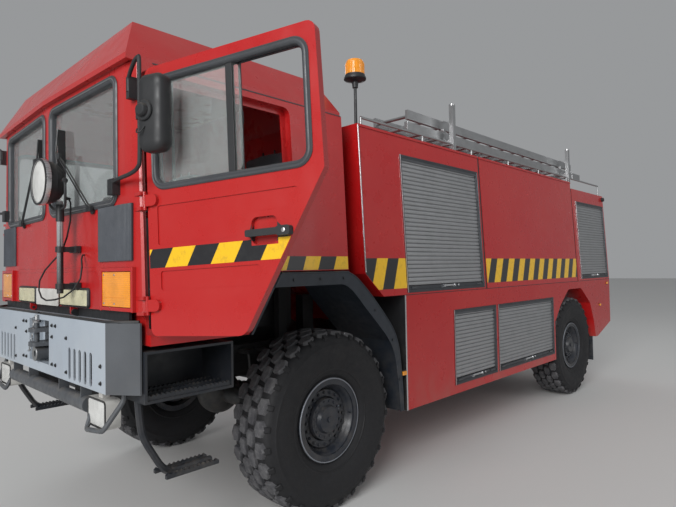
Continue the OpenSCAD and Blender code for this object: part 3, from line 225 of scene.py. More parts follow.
class Form:
    """Points and faces of one piece, gathered in the row frame."""

    def __init__(self, place=VEHICLE):
        self.place = place
        self.points = []
        self.faces = []

    def add(self, points, faces, place=None):
        start = len(self.points)
        spot = place or self.place
        self.points += [spot @ Vector(p) for p in points]
        self.faces += [tuple(start + i for i in face) for face in faces]

    def rings(self, rings, place=None, closed=False, capped=True):
        """A skin over rings of equally many points."""
        n, rows = len(rings[0]), len(rings)
        faces = [((r * n + i), (r * n + (i + 1) % n), ((r + 1) % rows * n + (i + 1) % n),
                  ((r + 1) % rows * n + i))
                 for r in range(rows if closed else rows - 1) for i in range(n)]
        if capped and not closed:
            faces += [tuple(range(n)), tuple((rows - 1) * n + i for i in range(n))]
        self.add([p for ring in rings for p in ring], faces, place)

    def prism(self, outline, low, high, plane="XZ", place=None):
        """A flat outline made solid between two depths."""
        stand = PLANES[plane]
        self.rings([[stand(a, b, d) for a, b in outline] for d in (low, high)], place)

    def block(self, low, high, place=None):
        """A box between two corners."""
        (x0, y0, z0), (x1, y1, z1) = low, high
        self.prism([(x0, z0), (x1, z0), (x1, z1), (x0, z1)], y0, y1, "XZ", place)

    def seal(self, box, r, section, plane="XZ", place=None, steps=6):
        """A section of (growth, depth) rows swept round a round rectangle."""
        stand = PLANES[plane]
        self.rings([[stand(a, b, depth) for a, b in grown(box, r, by, steps)] for by, depth in section],
                   place, closed=True)

    def turned(self, profile, place=None, steps=32, closed=False):
        """A profile of (radius, height) rows turned about local Z. A closed one makes a ring."""
        self.rings([[(x, y, h) for x, y in circle(0, 0, r, steps)] for r, h in profile], place, closed)

    def tube(self, path, r, sides=8, place=None, closed=False):
        """A round bar along a path. r is one radius or one for each point."""
        path = [Vector(p) for p in path]
        n = len(path)
        radii = r if isinstance(r, list) else [r] * n
        rings = []
        normal = None
        for i, p in enumerate(path):
            ahead = path[(i + 1) % n] if closed or i < n - 1 else p
            behind = path[i - 1] if closed or i else p
            along = (ahead - behind).normalized()
            if normal is None:
                normal = along.orthogonal().normalized()
            normal = (normal - along * normal.dot(along)).normalized()
            across = along.cross(normal)
            rings.append([p + radii[i] * (math.cos(math.tau * k / sides) * normal
                                          + math.sin(math.tau * k / sides) * across) for k in range(sides)])
        self.rings(rings, place, closed)

    def both_sides(self):
        """Adds the same shape on the vehicle's other side."""
        n = len(self.points)
        self.faces += [tuple(n + i for i in face) for face in self.faces]
        self.points += [OTHER_SIDE @ p for p in self.points]
        return self

    def piece(self, name, material, body, bevel=0.0, angle=35, bevel_steps=2, slot=None):
        """The finished object, riding on a body."""
        mesh = bpy.data.meshes.new(name)
        mesh.from_pydata(self.points, [], self.faces)
        work = bmesh.new()
        work.from_mesh(mesh)
        bmesh.ops.remove_doubles(work, verts=work.verts, dist=1e-6)
        bmesh.ops.recalc_face_normals(work, faces=work.faces)
        limit = math.radians(angle)
        for face in work.faces:
            face.smooth = True
        for edge in work.edges:
            edge.smooth = len(edge.link_faces) == 2 and edge.calc_face_angle(0) < limit
        work.to_mesh(mesh)
        work.free()
        mesh.materials.append(material)
        piece = stood(name, mesh, body)
        if bevel:
            edges = piece.modifiers.new("edges", "BEVEL")
            edges.width = bevel
            edges.segments = bevel_steps
            edges.limit_method = "ANGLE"
            edges.angle_limit = limit
            edges.harden_normals = True
        return piece


# Materials

DUST = (0.22, 0.19, 0.155)


def shaded(colour, share):
    """A darker or lighter tone of a colour."""
    return tuple(c * share for c in colour)


class Look:
    """A material's nodes, gathered round one shader."""

    def __init__(self, name):
        self.material = bpy.data.materials.new(name)
        self.material.use_nodes = True
        self.tree = self.material.node_tree
        self.tree.nodes.clear()
        self.shader = self.add("BsdfPrincipled")
        self.add("OutputMaterial", {"Surface": self.shader.outputs[0]})
        self.place = self.add("TexCoord").outputs["Object"]

    def feed(self, node, inputs):
        """Sets inputs to values, or links them from sockets."""
        for key, value in inputs.items():
            if isinstance(value, bpy.types.NodeSocket):
                self.tree.links.new(value, node.inputs[key])
            else:
                node.inputs[key].default_value = value

    def add(self, kind, inputs=None, **settings):
        """One more node."""
        node = self.tree.nodes.new("ShaderNode" + kind)
        for key, value in settings.items():
            setattr(node, key, value)
        self.feed(node, inputs or {})
        return node

    def finish(self, inputs):
        """The material, once its shader has all its inputs."""
        self.feed(self.shader, inputs)
        return self.material

    def noise(self, scale, detail=3.0, roughness=0.5, stretch=(1, 1, 1)):
        """Noise of about 1 / scale metres, stretched along an axis where stretch is small."""
        spot = self.add("Mapping", {"Vector": self.place, "Scale": stretch}).outputs[0]
        return self.add("TexNoise", {"Vector": spot, "Scale": scale, "Detail": detail,
                                     "Roughness": roughness}).outputs["Fac"]

    def ramp(self, value, low, high, out_low=0.0, out_high=1.0):
        """value from low to high, turned into out_low to out_high and held there."""
        return self.add("MapRange", {"Value": value, "From Min": low, "From Max": high,
                                     "To Min": out_low, "To Max": out_high}).outputs["Result"]

    def spots(self, scale, detail, low, high, out_low=0.0, out_high=1.0, roughness=0.5, stretch=(1, 1, 1)):
        """Noise put through a ramp."""
        return self.ramp(self.noise(scale, detail, roughness, stretch), low, high, out_low, out_high)

    def put(self, operation, a, b):
        """Two values put together by a sum, a product or the like."""
        return self.add("Math", {0: a, 1: b}, operation=operation).outputs[0]

    def blend(self, share, a, b):
        """Colour a where share is 0 and b where it is 1."""
        first, second = (c if isinstance(c, bpy.types.NodeSocket) else (*c, 1) for c in (a, b))
        return self.add("Mix", {0: share, 6: first, 7: second}, data_type="RGBA").outputs[2]

    def waves(self, scale, direction, flip=1):
        """Straight bands across a direction."""
        spot = self.add("Mapping", {"Vector": self.place, "Scale": (1, flip, 1)}).outputs[0]
        return self.add("TexWave", {"Vector": spot, "Scale": scale}, bands_direction=direction).outputs["Fac"]

    def bump(self, height, distance, over=None):
        """A normal with relief of the given depth in metres."""
        inputs = {"Height": height, "Distance": distance}
        if over is not None:
            inputs["Normal"] = over
        return self.add("Bump", inputs).outputs[0]

    def upward(self):
        """1 on surfaces that face up, 0 on the rest."""
        normal = self.add("NewGeometry").outputs["Normal"]
        return self.ramp(self.add("SeparateXYZ", {0: normal}).outputs["Z"], 0.3, 0.9)

    def low_down(self, top, bottom, most=1.0):
        """0 from the height top up, growing to most at the height bottom."""
        return self.ramp(self.add("SeparateXYZ", {0: self.place}).outputs["Z"], top, bottom, 0, most)


def gloss_paint(name, colour, faded, roughness, dirt_top=0.9, dirt=0.5, coat=0.35):
    """Vehicle paint: slight fading in patches, road dirt low down and dust on ledges."""
    look = Look(name)
    base = look.blend(look.spots(1.3, 4, 0.35, 0.75), colour, faded)
    grime = look.put("MULTIPLY", look.low_down(dirt_top, 0.35),
                     look.spots(6, 6, 0.42, 0.72, roughness=0.65, stretch=(1, 1, 0.4)))
    ledges = look.put("MULTIPLY", look.upward(), look.spots(4, 5, 0.4, 0.75, 0, 0.35))
    soiled = look.put("MULTIPLY", look.put("MAXIMUM", grime, ledges), dirt)
    smear = look.spots(9, 5, 0.3, 0.8, roughness - 0.06, roughness + 0.1)
    return look.finish({
        "Base Color": look.blend(soiled, base, DUST),
        "Roughness": look.put("ADD", smear, look.put("MULTIPLY", soiled, 0.5)),
        "Coat Weight": coat,
        "Coat Roughness": 0.08,
        "Normal": look.bump(look.noise(350, 1), 0.00012, look.bump(look.noise(7, 2), 0.0016)),
    })


def satin(name, colour, roughness=0.5, dust=0.5, grain=260, grain_depth=0.0002):
    """Satin paint, plastic or rubber with dust on its ledges and low down."""
    look = Look(name)
    base = look.blend(look.spots(5, 5, 0.3, 0.7), colour, shaded(colour, 0.72))
    ledges = look.put("MAXIMUM", look.upward(), look.low_down(1.3, 0.3, 0.6))
    patchy = look.put("MULTIPLY", ledges, look.spots(11, 7, 0.4, 0.72, roughness=0.7))
    soiled = look.put("MULTIPLY", patchy, dust)
    return look.finish({
        "Base Color": look.blend(soiled, base, DUST),
        "Roughness": look.spots(20, 5, 0.3, 0.7, roughness - 0.08, roughness + 0.12),
        "Metallic": 0.0,
        "Normal": look.bump(look.noise(grain, 3), grain_depth),
    })


def brushed(name, colour, roughness, tarnish=0.5):
    """Bare metal with fine marks along one axis and dull patches."""
    look = Look(name)
    marks = look.noise(400, 2, 0.5, (0.02, 1, 1))
    return look.finish({
        "Base Color": look.blend(look.spots(8, 6, 0.45, 0.8, 0, tarnish, 0.6), colour, shaded(colour, 0.6)),
        "Roughness": look.ramp(marks, 0.3, 0.7, roughness - 0.08, roughness + 0.12),
        "Metallic": 1.0,
        "Normal": look.bump(marks, 0.00008),
    })


def tyre_rubber(name, low, high):
    """Rubber between two shades: dull black, greyed by dust, with fine moulding marks."""
    look = Look(name)
    worn = look.spots(14, 6, 0.35, 0.75, roughness=0.65)
    dusty = look.spots(35, 7, 0.5, 0.75, 0, 0.3, 0.7)
    return look.finish({
        "Base Color": look.blend(dusty, look.blend(worn, low, high), shaded(high, 2.6)),
        "Roughness": look.ramp(worn, 0, 1, 0.62, 0.9),
        "Normal": look.bump(look.noise(180, 5, 0.6), 0.0009),
    })


def pane_glass(name, tint):
    """Thin clear glass with a faint tint and a film of dirt."""
    look = Look(name)
    return look.finish({
        "Base Color": (*tint, 1),
        "Transmission Weight": 0.9,
        "IOR": 1.45,
        "Roughness": look.spots(3, 6, 0.5, 0.9, 0.01, 0.07, 0.7),
    })


def lens(name, colour, clear, ribs_per_metre, direction):
    """Moulded lamp plastic, part clear, with close ribs."""
    look = Look(name)
    return look.finish({
        "Base Color": look.blend(look.spots(12, 3, 0.35, 0.7), colour, shaded(colour, 0.8)),
        "Transmission Weight": clear,
        "Roughness": 0.15,
        "IOR": 1.49,
        "Coat Weight": 0.5,
        "Normal": look.bump(look.waves(ribs_per_metre, direction), 0.0012),
    })


def hazard_paint(name, colour):
    """Warning stripe paint, a little scuffed and dirty."""
    look = Look(name)
    scuffs = look.spots(26, 8, 0.52, 0.7, 0, 0.55, 0.72)
    return look.finish({
        "Base Color": look.blend(scuffs, colour, tuple(c * 0.45 + 0.01 for c in colour)),
        "Roughness": look.ramp(scuffs, 0, 1, 0.3, 0.6),
        "Coat Weight": 0.2,
        "Normal": look.bump(look.noise(60, 3), 0.0003),
    })


def woven(name, colour):
    """Seat cloth with a fine weave and a soft sheen."""
    look = Look(name)
    weave = look.put("MULTIPLY", look.waves(160, "Y"), look.waves(160, "Z"))
    patches = look.put("ADD", look.put("MULTIPLY", weave, 0.5), look.spots(6, 4, 0.3, 0.7, 0, 0.5))
    return look.finish({
        "Base Color": look.blend(patches, shaded(colour, 0.5), colour),
        "Roughness": 0.9,
        "Sheen Weight": 0.3,
        "Normal": look.bump(weave, 0.0006),
    })


def silvered(name):
    """Mirror glass with faint smears."""
    look = Look(name)
    return look.finish({
        "Base Color": (0.86, 0.88, 0.9, 1),
        "Metallic": 1.0,
        "Roughness": look.spots(7, 5, 0.4, 0.8, 0.01, 0.06),
    })


def tread_plate(name, colour):
    """Plate with raised diamond marks, worn bright on top."""
    look = Look(name)
    crossed = look.put("MULTIPLY", look.waves(22, "DIAGONAL"), look.waves(22, "DIAGONAL", -1))
    marks = look.ramp(crossed, 0.55, 0.8)
    return look.finish({
        "Base Color": look.blend(marks, shaded(colour, 0.5), colour),
        "Metallic": 0.8,
        "Roughness": look.spots(20, 4, 0.3, 0.7, 0.35, 0.6),
        "Normal": look.bump(marks, 0.002),
    })


red_paint = gloss_paint("red_paint", (0.4, 0.005, 0.007), (0.42, 0.016, 0.014), roughness=0.3, coat=0.2)
grey_paint = gloss_paint("grey_paint", (0.31, 0.355, 0.41), (0.4, 0.44, 0.48),
                         roughness=0.42, dirt_top=1.4, dirt=0.6, coat=0.1)
black_metal = satin("black_metal", (0.02, 0.021, 0.023), 0.45, 0.5)
mudguard_plastic = satin("mudguard_plastic", (0.017, 0.023, 0.033), 0.45, 0.5)
step_metal = satin("step_metal", (0.014, 0.017, 0.023), 0.42, 0.4)
pale_metal = satin("pale_metal", (0.4, 0.41, 0.42), 0.4, 0.2)
grey_metal = satin("grey_metal", (0.075, 0.082, 0.092), 0.45, 0.5)
wheel_metal = satin("wheel_metal", (0.016, 0.02, 0.029), 0.34, 0.35)
dark_plastic = satin("dark_plastic", (0.018, 0.019, 0.021), 0.5, 0.25, grain=500)
panel_plastic = satin("panel_plastic", (0.05, 0.057, 0.07), 0.45, 0.2, grain=500)
seal_rubber = satin("seal_rubber", (0.055, 0.059, 0.066), 0.42, 0.2, grain=700)
cable_rubber = satin("cable_rubber", (0.01, 0.01, 0.011), 0.6, 0.1, grain=900)
white_paint = satin("white_paint", (0.62, 0.61, 0.58), 0.4, 0.2)
aluminium = brushed("aluminium", (0.4, 0.405, 0.41), 0.42)
bright_metal = brushed("bright_metal", (0.66, 0.66, 0.67), 0.28)
rim_edge_metal = brushed("rim_edge_metal", (0.34, 0.36, 0.4), 0.38, tarnish=0.7)
frame_metal = brushed("frame_metal", (0.105, 0.11, 0.12), 0.38)
slat_metal = brushed("slat_metal", (0.44, 0.445, 0.455), 0.42, tarnish=0.3)
tyre_black = tyre_rubber("tyre_rubber", (0.004, 0.004, 0.005), (0.009, 0.009, 0.011))
tread_rubber = tyre_rubber("tread_rubber", (0.036, 0.036, 0.041), (0.105, 0.103, 0.106))
clear_glass = pane_glass("clear_glass", (0.93, 0.97, 0.96))
orange_lens = lens("orange_lens", (1.0, 0.36, 0.02), 0.12, 30.0, "Z")
clear_lens = lens("clear_lens", (0.95, 0.9, 0.6), 0.25, 70.0, "Y")
lamp_face = lens("lamp_face", (0.93, 0.93, 0.9), 0.15, 90.0, "Y")
red_lens = lens("red_lens", (0.55, 0.01, 0.01), 0.3, 70.0, "Y")
stripe_yellow = hazard_paint("stripe_yellow", (0.8, 0.47, 0.012))
stripe_black = hazard_paint("stripe_black", (0.014, 0.014, 0.016))
seat_cloth = woven("seat_cloth", (0.05, 0.055, 0.07))
trim_vinyl = satin("trim_vinyl", (0.055, 0.056, 0.06), 0.6, 0.15, grain=320, grain_depth=0.0004)
mirror_glass = silvered("mirror_glass")
step_plate = tread_plate("step_plate", (0.35, 0.35, 0.35))

CAD_MATERIALS = {
    "red_paint": red_paint,
    "grey_paint": grey_paint,
    "black_metal": black_metal,
    "wheel_metal": wheel_metal,
    "dark_plastic": dark_plastic,
    "cable_rubber": cable_rubber,
    "aluminium": aluminium,
    "tyre": tyre_black,
    "glass": clear_glass,
    "lamp_orange": orange_lens,
    "lamp_clear": clear_lens,
}


def on_handle(place):
    """A test of whether a point belongs to a door's handle and lock."""
    turn_back = place.inverted() @ VEHICLE

    def test(p):
        q = turn_back @ p
        return HINGE_X + 0.63 < q.x < HINGE_X + 0.88 and 1.79 < q.z < 1.86 and q.y < 0.021

    return test


# A second material on some of a node's faces: node, material, test on a face's middle in the vehicle's axes
TWO_TONE = (
    ("door_left", dark_plastic, on_handle(OPEN_DOOR)),
    ("door_right", dark_plastic, on_handle(SHUT_DOOR)),
    ("cab_lamps", clear_lens, lambda p: abs(p.y) < 0.7),
    ("fog_lamps", grey_metal,
     lambda p: not (0.73 < abs(p.y) < 0.98 and p.z > 0.838 and -1.475 < p.x < -1.38)),
    ("beacon", black_metal, lambda p: p.z < 3.2),
    ("bumper", grey_metal, lambda p: p.z < BUMPER_Z - 0.002 or abs(p.y) > 1.045),
    ("search_lamp", pale_metal, lambda p: 1.86 < p.z < 2.08),
    ("side_lockers", black_metal, lambda p: p.x < SKIRT_FRONT + 0.004),
)
# Nodes that differ from their slot's usual material
OWN_MATERIALS = {
    "fog_lamps": white_paint,
    "tow_coupling": grey_metal,
    "front_steps": step_metal,
    "mudguards": mudguard_plastic,
}


def dress_nodes():
    """Each CAD node's own material, from the slot that the record gives it."""
    for row in frame["record"]["subparts"]:
        data = nodes[row["node"]].data
        data.materials.clear()
        data.materials.append(OWN_MATERIALS.get(row["node"]) or CAD_MATERIALS[row["material_slot"]])
    for node, material, test in TWO_TONE:
        data = nodes[node].data
        data.materials.append(material)
        for face in data.polygons:
            if test(VEHICLE.inverted() @ face.center):
                face.material_index = 1


def make_cable():
    """The search lamp's free cable, from its gland to the cab's front."""
    points = [at(x / 1000, y / 1000, z / 1000) for x, y, z in CABLE_POINTS]
    data = bpy.data.curves.new("search_lamp_cable", "CURVE")
    data.dimensions = "3D"
    data.bevel_depth = CABLE_R
    data.bevel_resolution = 3
    data.use_fill_caps = True
    data.materials.append(cable_rubber)
    spline = data.splines.new("POLY")
    spline.points.add(len(points) - 1)
    for target, p in zip(spline.points, points):
        target.co = (*p, 1)
    cable = stood("search_lamp_cable", data, "cab")
    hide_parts("lamp_cable")


# Wheels

WHEELS = ((0, -1, "front_left"), (0, 1, "front_right"), (WHEELBASE, -1, "rear_left"),
          (WHEELBASE, 1, "rear_right"))
# Half of the carcass from its outer bead to the tread's middle, as (radius, half width)
CARCASS = (
    (0.2573, 0.1266), (0.299, 0.1266), (0.304, 0.134), (0.328, 0.15), (0.343, 0.157), (0.346, 0.162),
    (0.354, 0.1635), (0.358, 0.162), (0.385, 0.1725), (0.42, 0.181), (0.455, 0.1865), (0.49, 0.187),
    (0.515, 0.1855), (0.521, 0.1875), (0.529, 0.187), (0.534, 0.183), (0.556, 0.178), (0.578, 0.167),
    (0.594, 0.147), (0.601, 0.11), (0.603, 0.05), (0.603, 0),
)
# Radii of a tyre's outside and of the ground between its blocks, and the blocks in a row
TYRE_R, TREAD_BASE = 0.6247, 0.599
TREAD_BLOCKS = 28
# Fall of the tread to its shoulders, by the square of the distance, and half length of a shoulder lug
CROWN, LUG_HALF = 0.3, 0.019
# Outlines of an inner and a shoulder block, as (along the tread, across it) from the block's middle
INNER_BLOCK = ((-0.056, -0.018), (-0.03, -0.032), (0.045, -0.027), (0.056, 0.018), (0.03, 0.032),
               (-0.045, 0.027))
OUTER_BLOCK = ((-0.049, -0.024), (0.002, -0.035), (0.051, -0.022), (0.051, 0.024), (0.0, 0.045),
               (-0.051, 0.024))
# Section of a lug on the shoulder, as (radius, half width, share of its rise)
SHOULDER_LUG = (
    (0.605, 0.148, 0), (0.603, 0.158, 1), (0.59, 0.171, 1), (0.573, 0.178, 1), (0.566, 0.178, 0),
    (0.566, 0.17, 0), (0.575, 0.164, 0), (0.59, 0.15, 0),
)
# Rows of blocks: place across the tread, outline, and its share of a pitch round the tyre
TREAD_ROWS = ((0.039, INNER_BLOCK, 0.0), (0.117, OUTER_BLOCK, 0.5))


def wheel_place(x, side):
    """A wheel's own axes: local Z points outward along its axle."""
    return fitted(x, side * TRACK_HALF, WHEEL_Z, -side * 90, "X")


def on_tread(angle, along, across, r):
    """A point of the tread in a wheel's axes. The crown falls off to the shoulders."""
    angle += along / TYRE_R
    fall = CROWN * across * across
    return ((r - fall) * math.cos(angle), (r - fall) * math.sin(angle), across)


def make_tyre(x, side, name):
    """A tyre with staggered tread blocks, shoulder lugs and ribbed sidewalls."""
    place = wheel_place(x, side)
    carcass, blocks = Form(place), Form(place)
    mirrored = [(r, -h) for r, h in reversed(CARCASS[:-1])]
    carcass.turned(list(CARCASS) + mirrored, steps=96, closed=True)
    for i in range(TREAD_BLOCKS):
        for across, outline, share in TREAD_ROWS:
            for half in (1, -1):
                angle = math.tau * (i + share + (0.5 if half < 0 else 0)) / TREAD_BLOCKS
                rings = []
                for size, r in ((1.1, TREAD_BASE - 0.01), (1.0, TYRE_R - 0.004), (0.93, TYRE_R)):
                    rings.append([on_tread(angle, half * u * size, half * (across + v * size), r)
                                  for u, v in outline])
                blocks.rings(rings)
        for half in (1, -1):
            angle = math.tau * (i + (0.5 if half > 0 else 1.0)) / TREAD_BLOCKS
            ends = []
            for lean, out in ((-1, 0.0), (-0.75, 0.003), (0.75, 0.003), (1, 0.0)):
                edge = angle + lean * LUG_HALF / TYRE_R
                ends.append([((r + share * out) * math.cos(edge), (r + share * out) * math.sin(edge),
                              half * (h + share * out)) for r, h, share in SHOULDER_LUG])
            carcass.rings(ends)
    tyre = carcass.piece("tyre_carcass_" + name, tyre_black, "wheel_" + name, angle=32)
    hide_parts("tyre_" + name)
    blocks.piece("tyre_blocks_" + name, tread_rubber, "wheel_" + name, angle=32)


# Rim parts, as (radius, height along the axle) sections
RIM_EDGE = ((0.2835, 0.1395), (0.2905, 0.1395), (0.2915, 0.1425), (0.288, 0.1455), (0.282, 0.1445))
RIM_DISH = ((0.2452, 0.128), (0.24, 0.124), (0.229, 0.097), (0.217, 0.078), (0.209, 0.07), (0.207, 0.033),
            (0.213, 0.033), (0.216, 0.068), (0.224, 0.076), (0.235, 0.094), (0.2452, 0.119))
BOLT_PLATE = ((0.1515, 0.07), (0.1515, 0.08), (0.156, 0.0825), (0.198, 0.0825), (0.2035, 0.078),
              (0.2045, 0.052), (0.197, 0.052), (0.195, 0.07))
RIM_NUTS, HUB_BOLTS = 20, 16


def hexagon(r):
    """Corners of a nut or a bolt's head."""
    return circle(0, 0, r, 6)


def make_rim(x, side, name):
    """What is fixed on a rim: its worn edge, its dish, nuts, hub bolts and valve."""
    place = wheel_place(x, side)
    edge = Form(place)
    edge.turned(RIM_EDGE, steps=96, closed=True)
    edge.piece("rim_edge_" + name, rim_edge_metal, "wheel_" + name)
    trim = Form(place)
    trim.turned(RIM_DISH, steps=72, closed=True)
    trim.turned(BOLT_PLATE, steps=64, closed=True)
    for i in range(RIM_NUTS):
        spot = place @ turn(360 / RIM_NUTS * i, "Z") @ moved(0.181, 0, 0)
        trim.prism(hexagon(0.0125), 0.0815, 0.094, "XY", spot)
        trim.turned(((0.0, 0.094), (0.006, 0.094), (0.006, 0.099), (0.0, 0.1)), spot, 10)
    for i in range(HUB_BOLTS):
        spot = place @ turn(360 / HUB_BOLTS * (i + 0.5), "Z") @ moved(0.124, 0, 0)
        trim.prism(hexagon(0.0095), 0.1085, 0.117, "XY", spot)
    trim.prism(hexagon(0.022), 0.1335, 0.1445, "XY")
    trim.tube(smooth_path([(0.236, 0.0, 0.09), (0.226, 0.0, 0.115), (0.222, 0.004, 0.135)]), 0.005, 8)
    trim.piece("rim_trim_" + name, wheel_metal, "wheel_" + name, bevel=0.0012, angle=38)


def make_wheels():
    """Dressed tyres and rims at the four corners."""
    for x, side, name in WHEELS:
        make_tyre(x, side, name)
        make_rim(x, side, name)


# Seals and stripes

# Section of a window's rubber, as (growth, depth) from the opening's edge and the skin
OUTER_SEAL = ((0.023, 0.001), (0.024, -0.004), (0.018, -0.009), (0.012, -0.0055), (0.007, -0.0055),
              (0.001, -0.01), (-0.007, -0.007), (-0.012, 0.002), (-0.014, 0.0135), (-0.003, 0.0135), (-0.001,
                                                                                                      0.001))
INNER_SEAL = ((0.02, 0.0445), (0.022, 0.048), (0.01, 0.052), (-0.008, 0.049), (-0.012, 0.04),
              (-0.012, 0.0272), (-0.001, 0.0272), (-0.001, 0.0445))
# Rear edge of the upright bar between a door's two panes
PANE_FRAME_X = (WINDOW[0] + WINDOW[2]) / 2 + 0.05
# Where the sliding pane's edges lie when it is slid forward, and when it is shut
SLID_EDGES, SHUT_EDGES = (-1.209, -0.781), (-0.844,)
# Thickness of a stripe
FILM = 0.0007


def stripes(yellow, black, place, bounds, z0, z1, lean, cuts, first_black):
    """Slanted bars between mid-height bounds, cut to convex regions, laid as thin films."""
    reach = lean * 7.5
    edges = [bounds[0] - reach, *bounds, bounds[-1] + reach]
    for i, (a, b) in enumerate(zip(edges, edges[1:])):
        form = black if (i % 2 == 0) == first_black else yellow
        half = lean / 2
        bar = [(a - half, z0), (b - half, z0), (b + half, z1), (a + half, z1)]
        for region in cuts:
            part = bar
            for inside in region:
                part = clip(part, inside) if len(part) > 2 else part
            if len(part) > 2:
                form.prism(part, -FILM, 0.0, "XZ", place)


def side_of(x0, z0, x1, z1, sign=1):
    """The region behind the line through two points, or ahead of it with a sign of -1."""
    return lambda p: sign * (p[0] - (x0 + (x1 - x0) * (p[1] - z0) / (z1 - z0)))


def after(x, sign=1):
    """The region behind x, or ahead of it with a sign of -1."""
    return side_of(x, 0, x, 1, sign)


def door_seam(gap, sign):
    """The region on one side of the door's slanted rear edge, with a gap."""
    return side_of(DOOR_LOW_REAR + gap, DOOR_Z, HINGE_X + DOOR_L + gap, BELT_Z, sign)


def make_band(names, body, place, rows, paired=True):
    """One band's yellow and black bars, from rows of stripes' arguments."""
    forms = Form(place), Form(place)
    for row in rows:
        stripes(*forms, place, *row)
    for form, colour, material in zip(forms, ("yellow", "black"), (stripe_yellow, stripe_black)):
        (form.both_sides() if paired else form).piece(names % colour, material, body)


# Each band's foot and top, and where its colours change at mid-height. GRIP is the recess behind a
# door's handle: its front, foot and rear.
DOOR_BAND = (1.7, 1.797)
DOOR_BOUNDS = (-1.369, -1.23, -1.084, -0.938, -0.8, -0.649)
DOOR_LOW_REAR = HINGE_X + DOOR_L - 0.484 + 0.03
GRIP = (-0.724, 1.769, -0.577)
PILLAR_BAND = (1.678, 1.77)
PILLAR_BOUNDS = (-0.55, -0.403, -0.258, -0.119, 0.034)
BODY_BAND = (1.515, 1.757)
LOCKER_BOUNDS = (0.444, 0.577, 0.715)
TANK_PITCH = 0.131
TANK_BOUNDS = tuple(2.245 + TANK_PITCH * i for i in range(19))


def make_stripes():
    """Hazard bands on the doors, behind them, and along the body, on both sides."""
    front, foot, rear = GRIP
    door_cuts = [(after(HINGE_X + 0.012), after(front, -1)),
                 (after(front), after(rear, -1), lambda p: foot - p[1]), (after(rear), door_seam(-0.004, -1))]
    for place, side in DOORS:
        make_band("door_stripes_%s_" + side, "door_" + side, place,
                  [(DOOR_BOUNDS, *DOOR_BAND, 0.057, door_cuts, False)], False)
    pillar_cuts = [(door_seam(0.016, 1), after(CAB_REAR - 0.004, -1))]
    make_band("cab_stripes_%s", "cab", CAB_SIDE, [(PILLAR_BOUNDS, *PILLAR_BAND, 0.035, pillar_cuts, True)])
    locker_cuts = [(after(BODY_FRONT + 0.003), after(UPPER_SHUTTERS[0][0] - 0.002, -1),
                    side_of(0.342, 1.643, 0.544, 1.464))]
    tank_cuts = [(after(SEAM_FRONT + CHANNEL + 0.003), after(SEAM_REAR - CHANNEL - 0.003, -1))]
    make_band("body_stripes_%s", "chassis", BODY_SIDE,
              [(LOCKER_BOUNDS, *BODY_BAND, 0.085, locker_cuts, True),
               (TANK_BOUNDS, *BODY_BAND, 0.1, tank_cuts, False)])


def make_doors():
    """Window rubbers, pane frames, the sliding pane's latch and the lock of each door."""
    foot, top = WINDOW[1] + 0.004, WINDOW[3] - 0.004
    for place, side in DOORS:
        body = "door_" + side
        seals, bars, lock = Form(place), Form(place), Form(place)
        for section in (OUTER_SEAL, INNER_SEAL):
            seals.seal(WINDOW, WINDOW_R, section)
        seals.piece("door_window_seal_" + side, seal_rubber, body, angle=50)
        edges = SLID_EDGES if side == "left" else SHUT_EDGES
        bars.block((PANE_FRAME_X - 0.04, 0.004, foot), (PANE_FRAME_X, 0.0138, top))
        bars.block((PANE_FRAME_X - 0.034, 0.0266, foot), (PANE_FRAME_X - 0.006, 0.034, top))
        for x in edges:
            bars.block((x, 0.0266, foot), (x + 0.013, 0.0345, top))
        bars.block((edges[-1] - 0.004, 0.0266, 2.36), (edges[-1] + 0.013, 0.041, 2.42))
        bars.piece("door_window_bars_" + side, dark_plastic, body, bevel=0.002)
        lock.turned(((0, 0), (0.01, 0), (0.01, 0.003), (0.008, 0.004), (0, 0.004)),
                    fitted(HINGE_X + 0.845, -0.036, 1.824, 90, "X", place), 20)
        lock.piece("door_lock_" + side, bright_metal, body)
        make_door_trim(place, side)


# Outline of a door's trim panel, as (X, Z)
TRIM_OUTLINE = ((-1.325, 1.4), (-0.8, 1.4), (-0.42, 2.045), (-1.325, 2.045))


def make_door_trim(place, side):
    """The door's inner side: a padded panel with an arm rest, a pull, a crank and a pocket."""
    panel, metal = Form(place), Form(place)
    for low, high, inset in ((DOOR_T, DOOR_T + 0.006, 0.0), (DOOR_T + 0.006, DOOR_T + 0.011, 0.012)):
        panel.prism([(x + (inset if x < -1 else -inset), z + (inset if z < 1.7 else -inset))
                     for x, z in TRIM_OUTLINE], low, high)
    panel.block((-1.2, DOOR_T + 0.01, 1.845), (-0.7, DOOR_T + 0.068, 1.9))
    panel.block((-1.27, DOOR_T + 0.01, 1.44), (-0.9, DOOR_T + 0.045, 1.58))
    panel.piece("door_trim_" + side, trim_vinyl, "door_" + side, bevel=0.006, bevel_steps=3)
    pull = ((-0.62, 0.008, 1.93), (-0.62, 0.05, 1.94), (-0.52, 0.055, 1.94), (-0.46, 0.04, 1.94))
    crank = ((-0.8, 0.036, 1.72), (-0.86, 0.042, 1.66), (-0.885, 0.042, 1.635))
    metal.tube(smooth_path([(x, DOOR_T + y, z) for x, y, z in pull]), 0.008, 8)
    metal.tube([(x, DOOR_T + y, z) for x, y, z in crank], 0.007, 8)
    metal.turned(((0, 0), (0.03, 0), (0.03, 0.006), (0.012, 0.014), (0.012, 0.03), (0, 0.03)),
                 fitted(-0.8, DOOR_T + 0.011, 1.72, -90, "X", place), 20)
    metal.piece("door_inner_handles_" + side, bright_metal, "door_" + side, bevel=0.001)


# Cab front

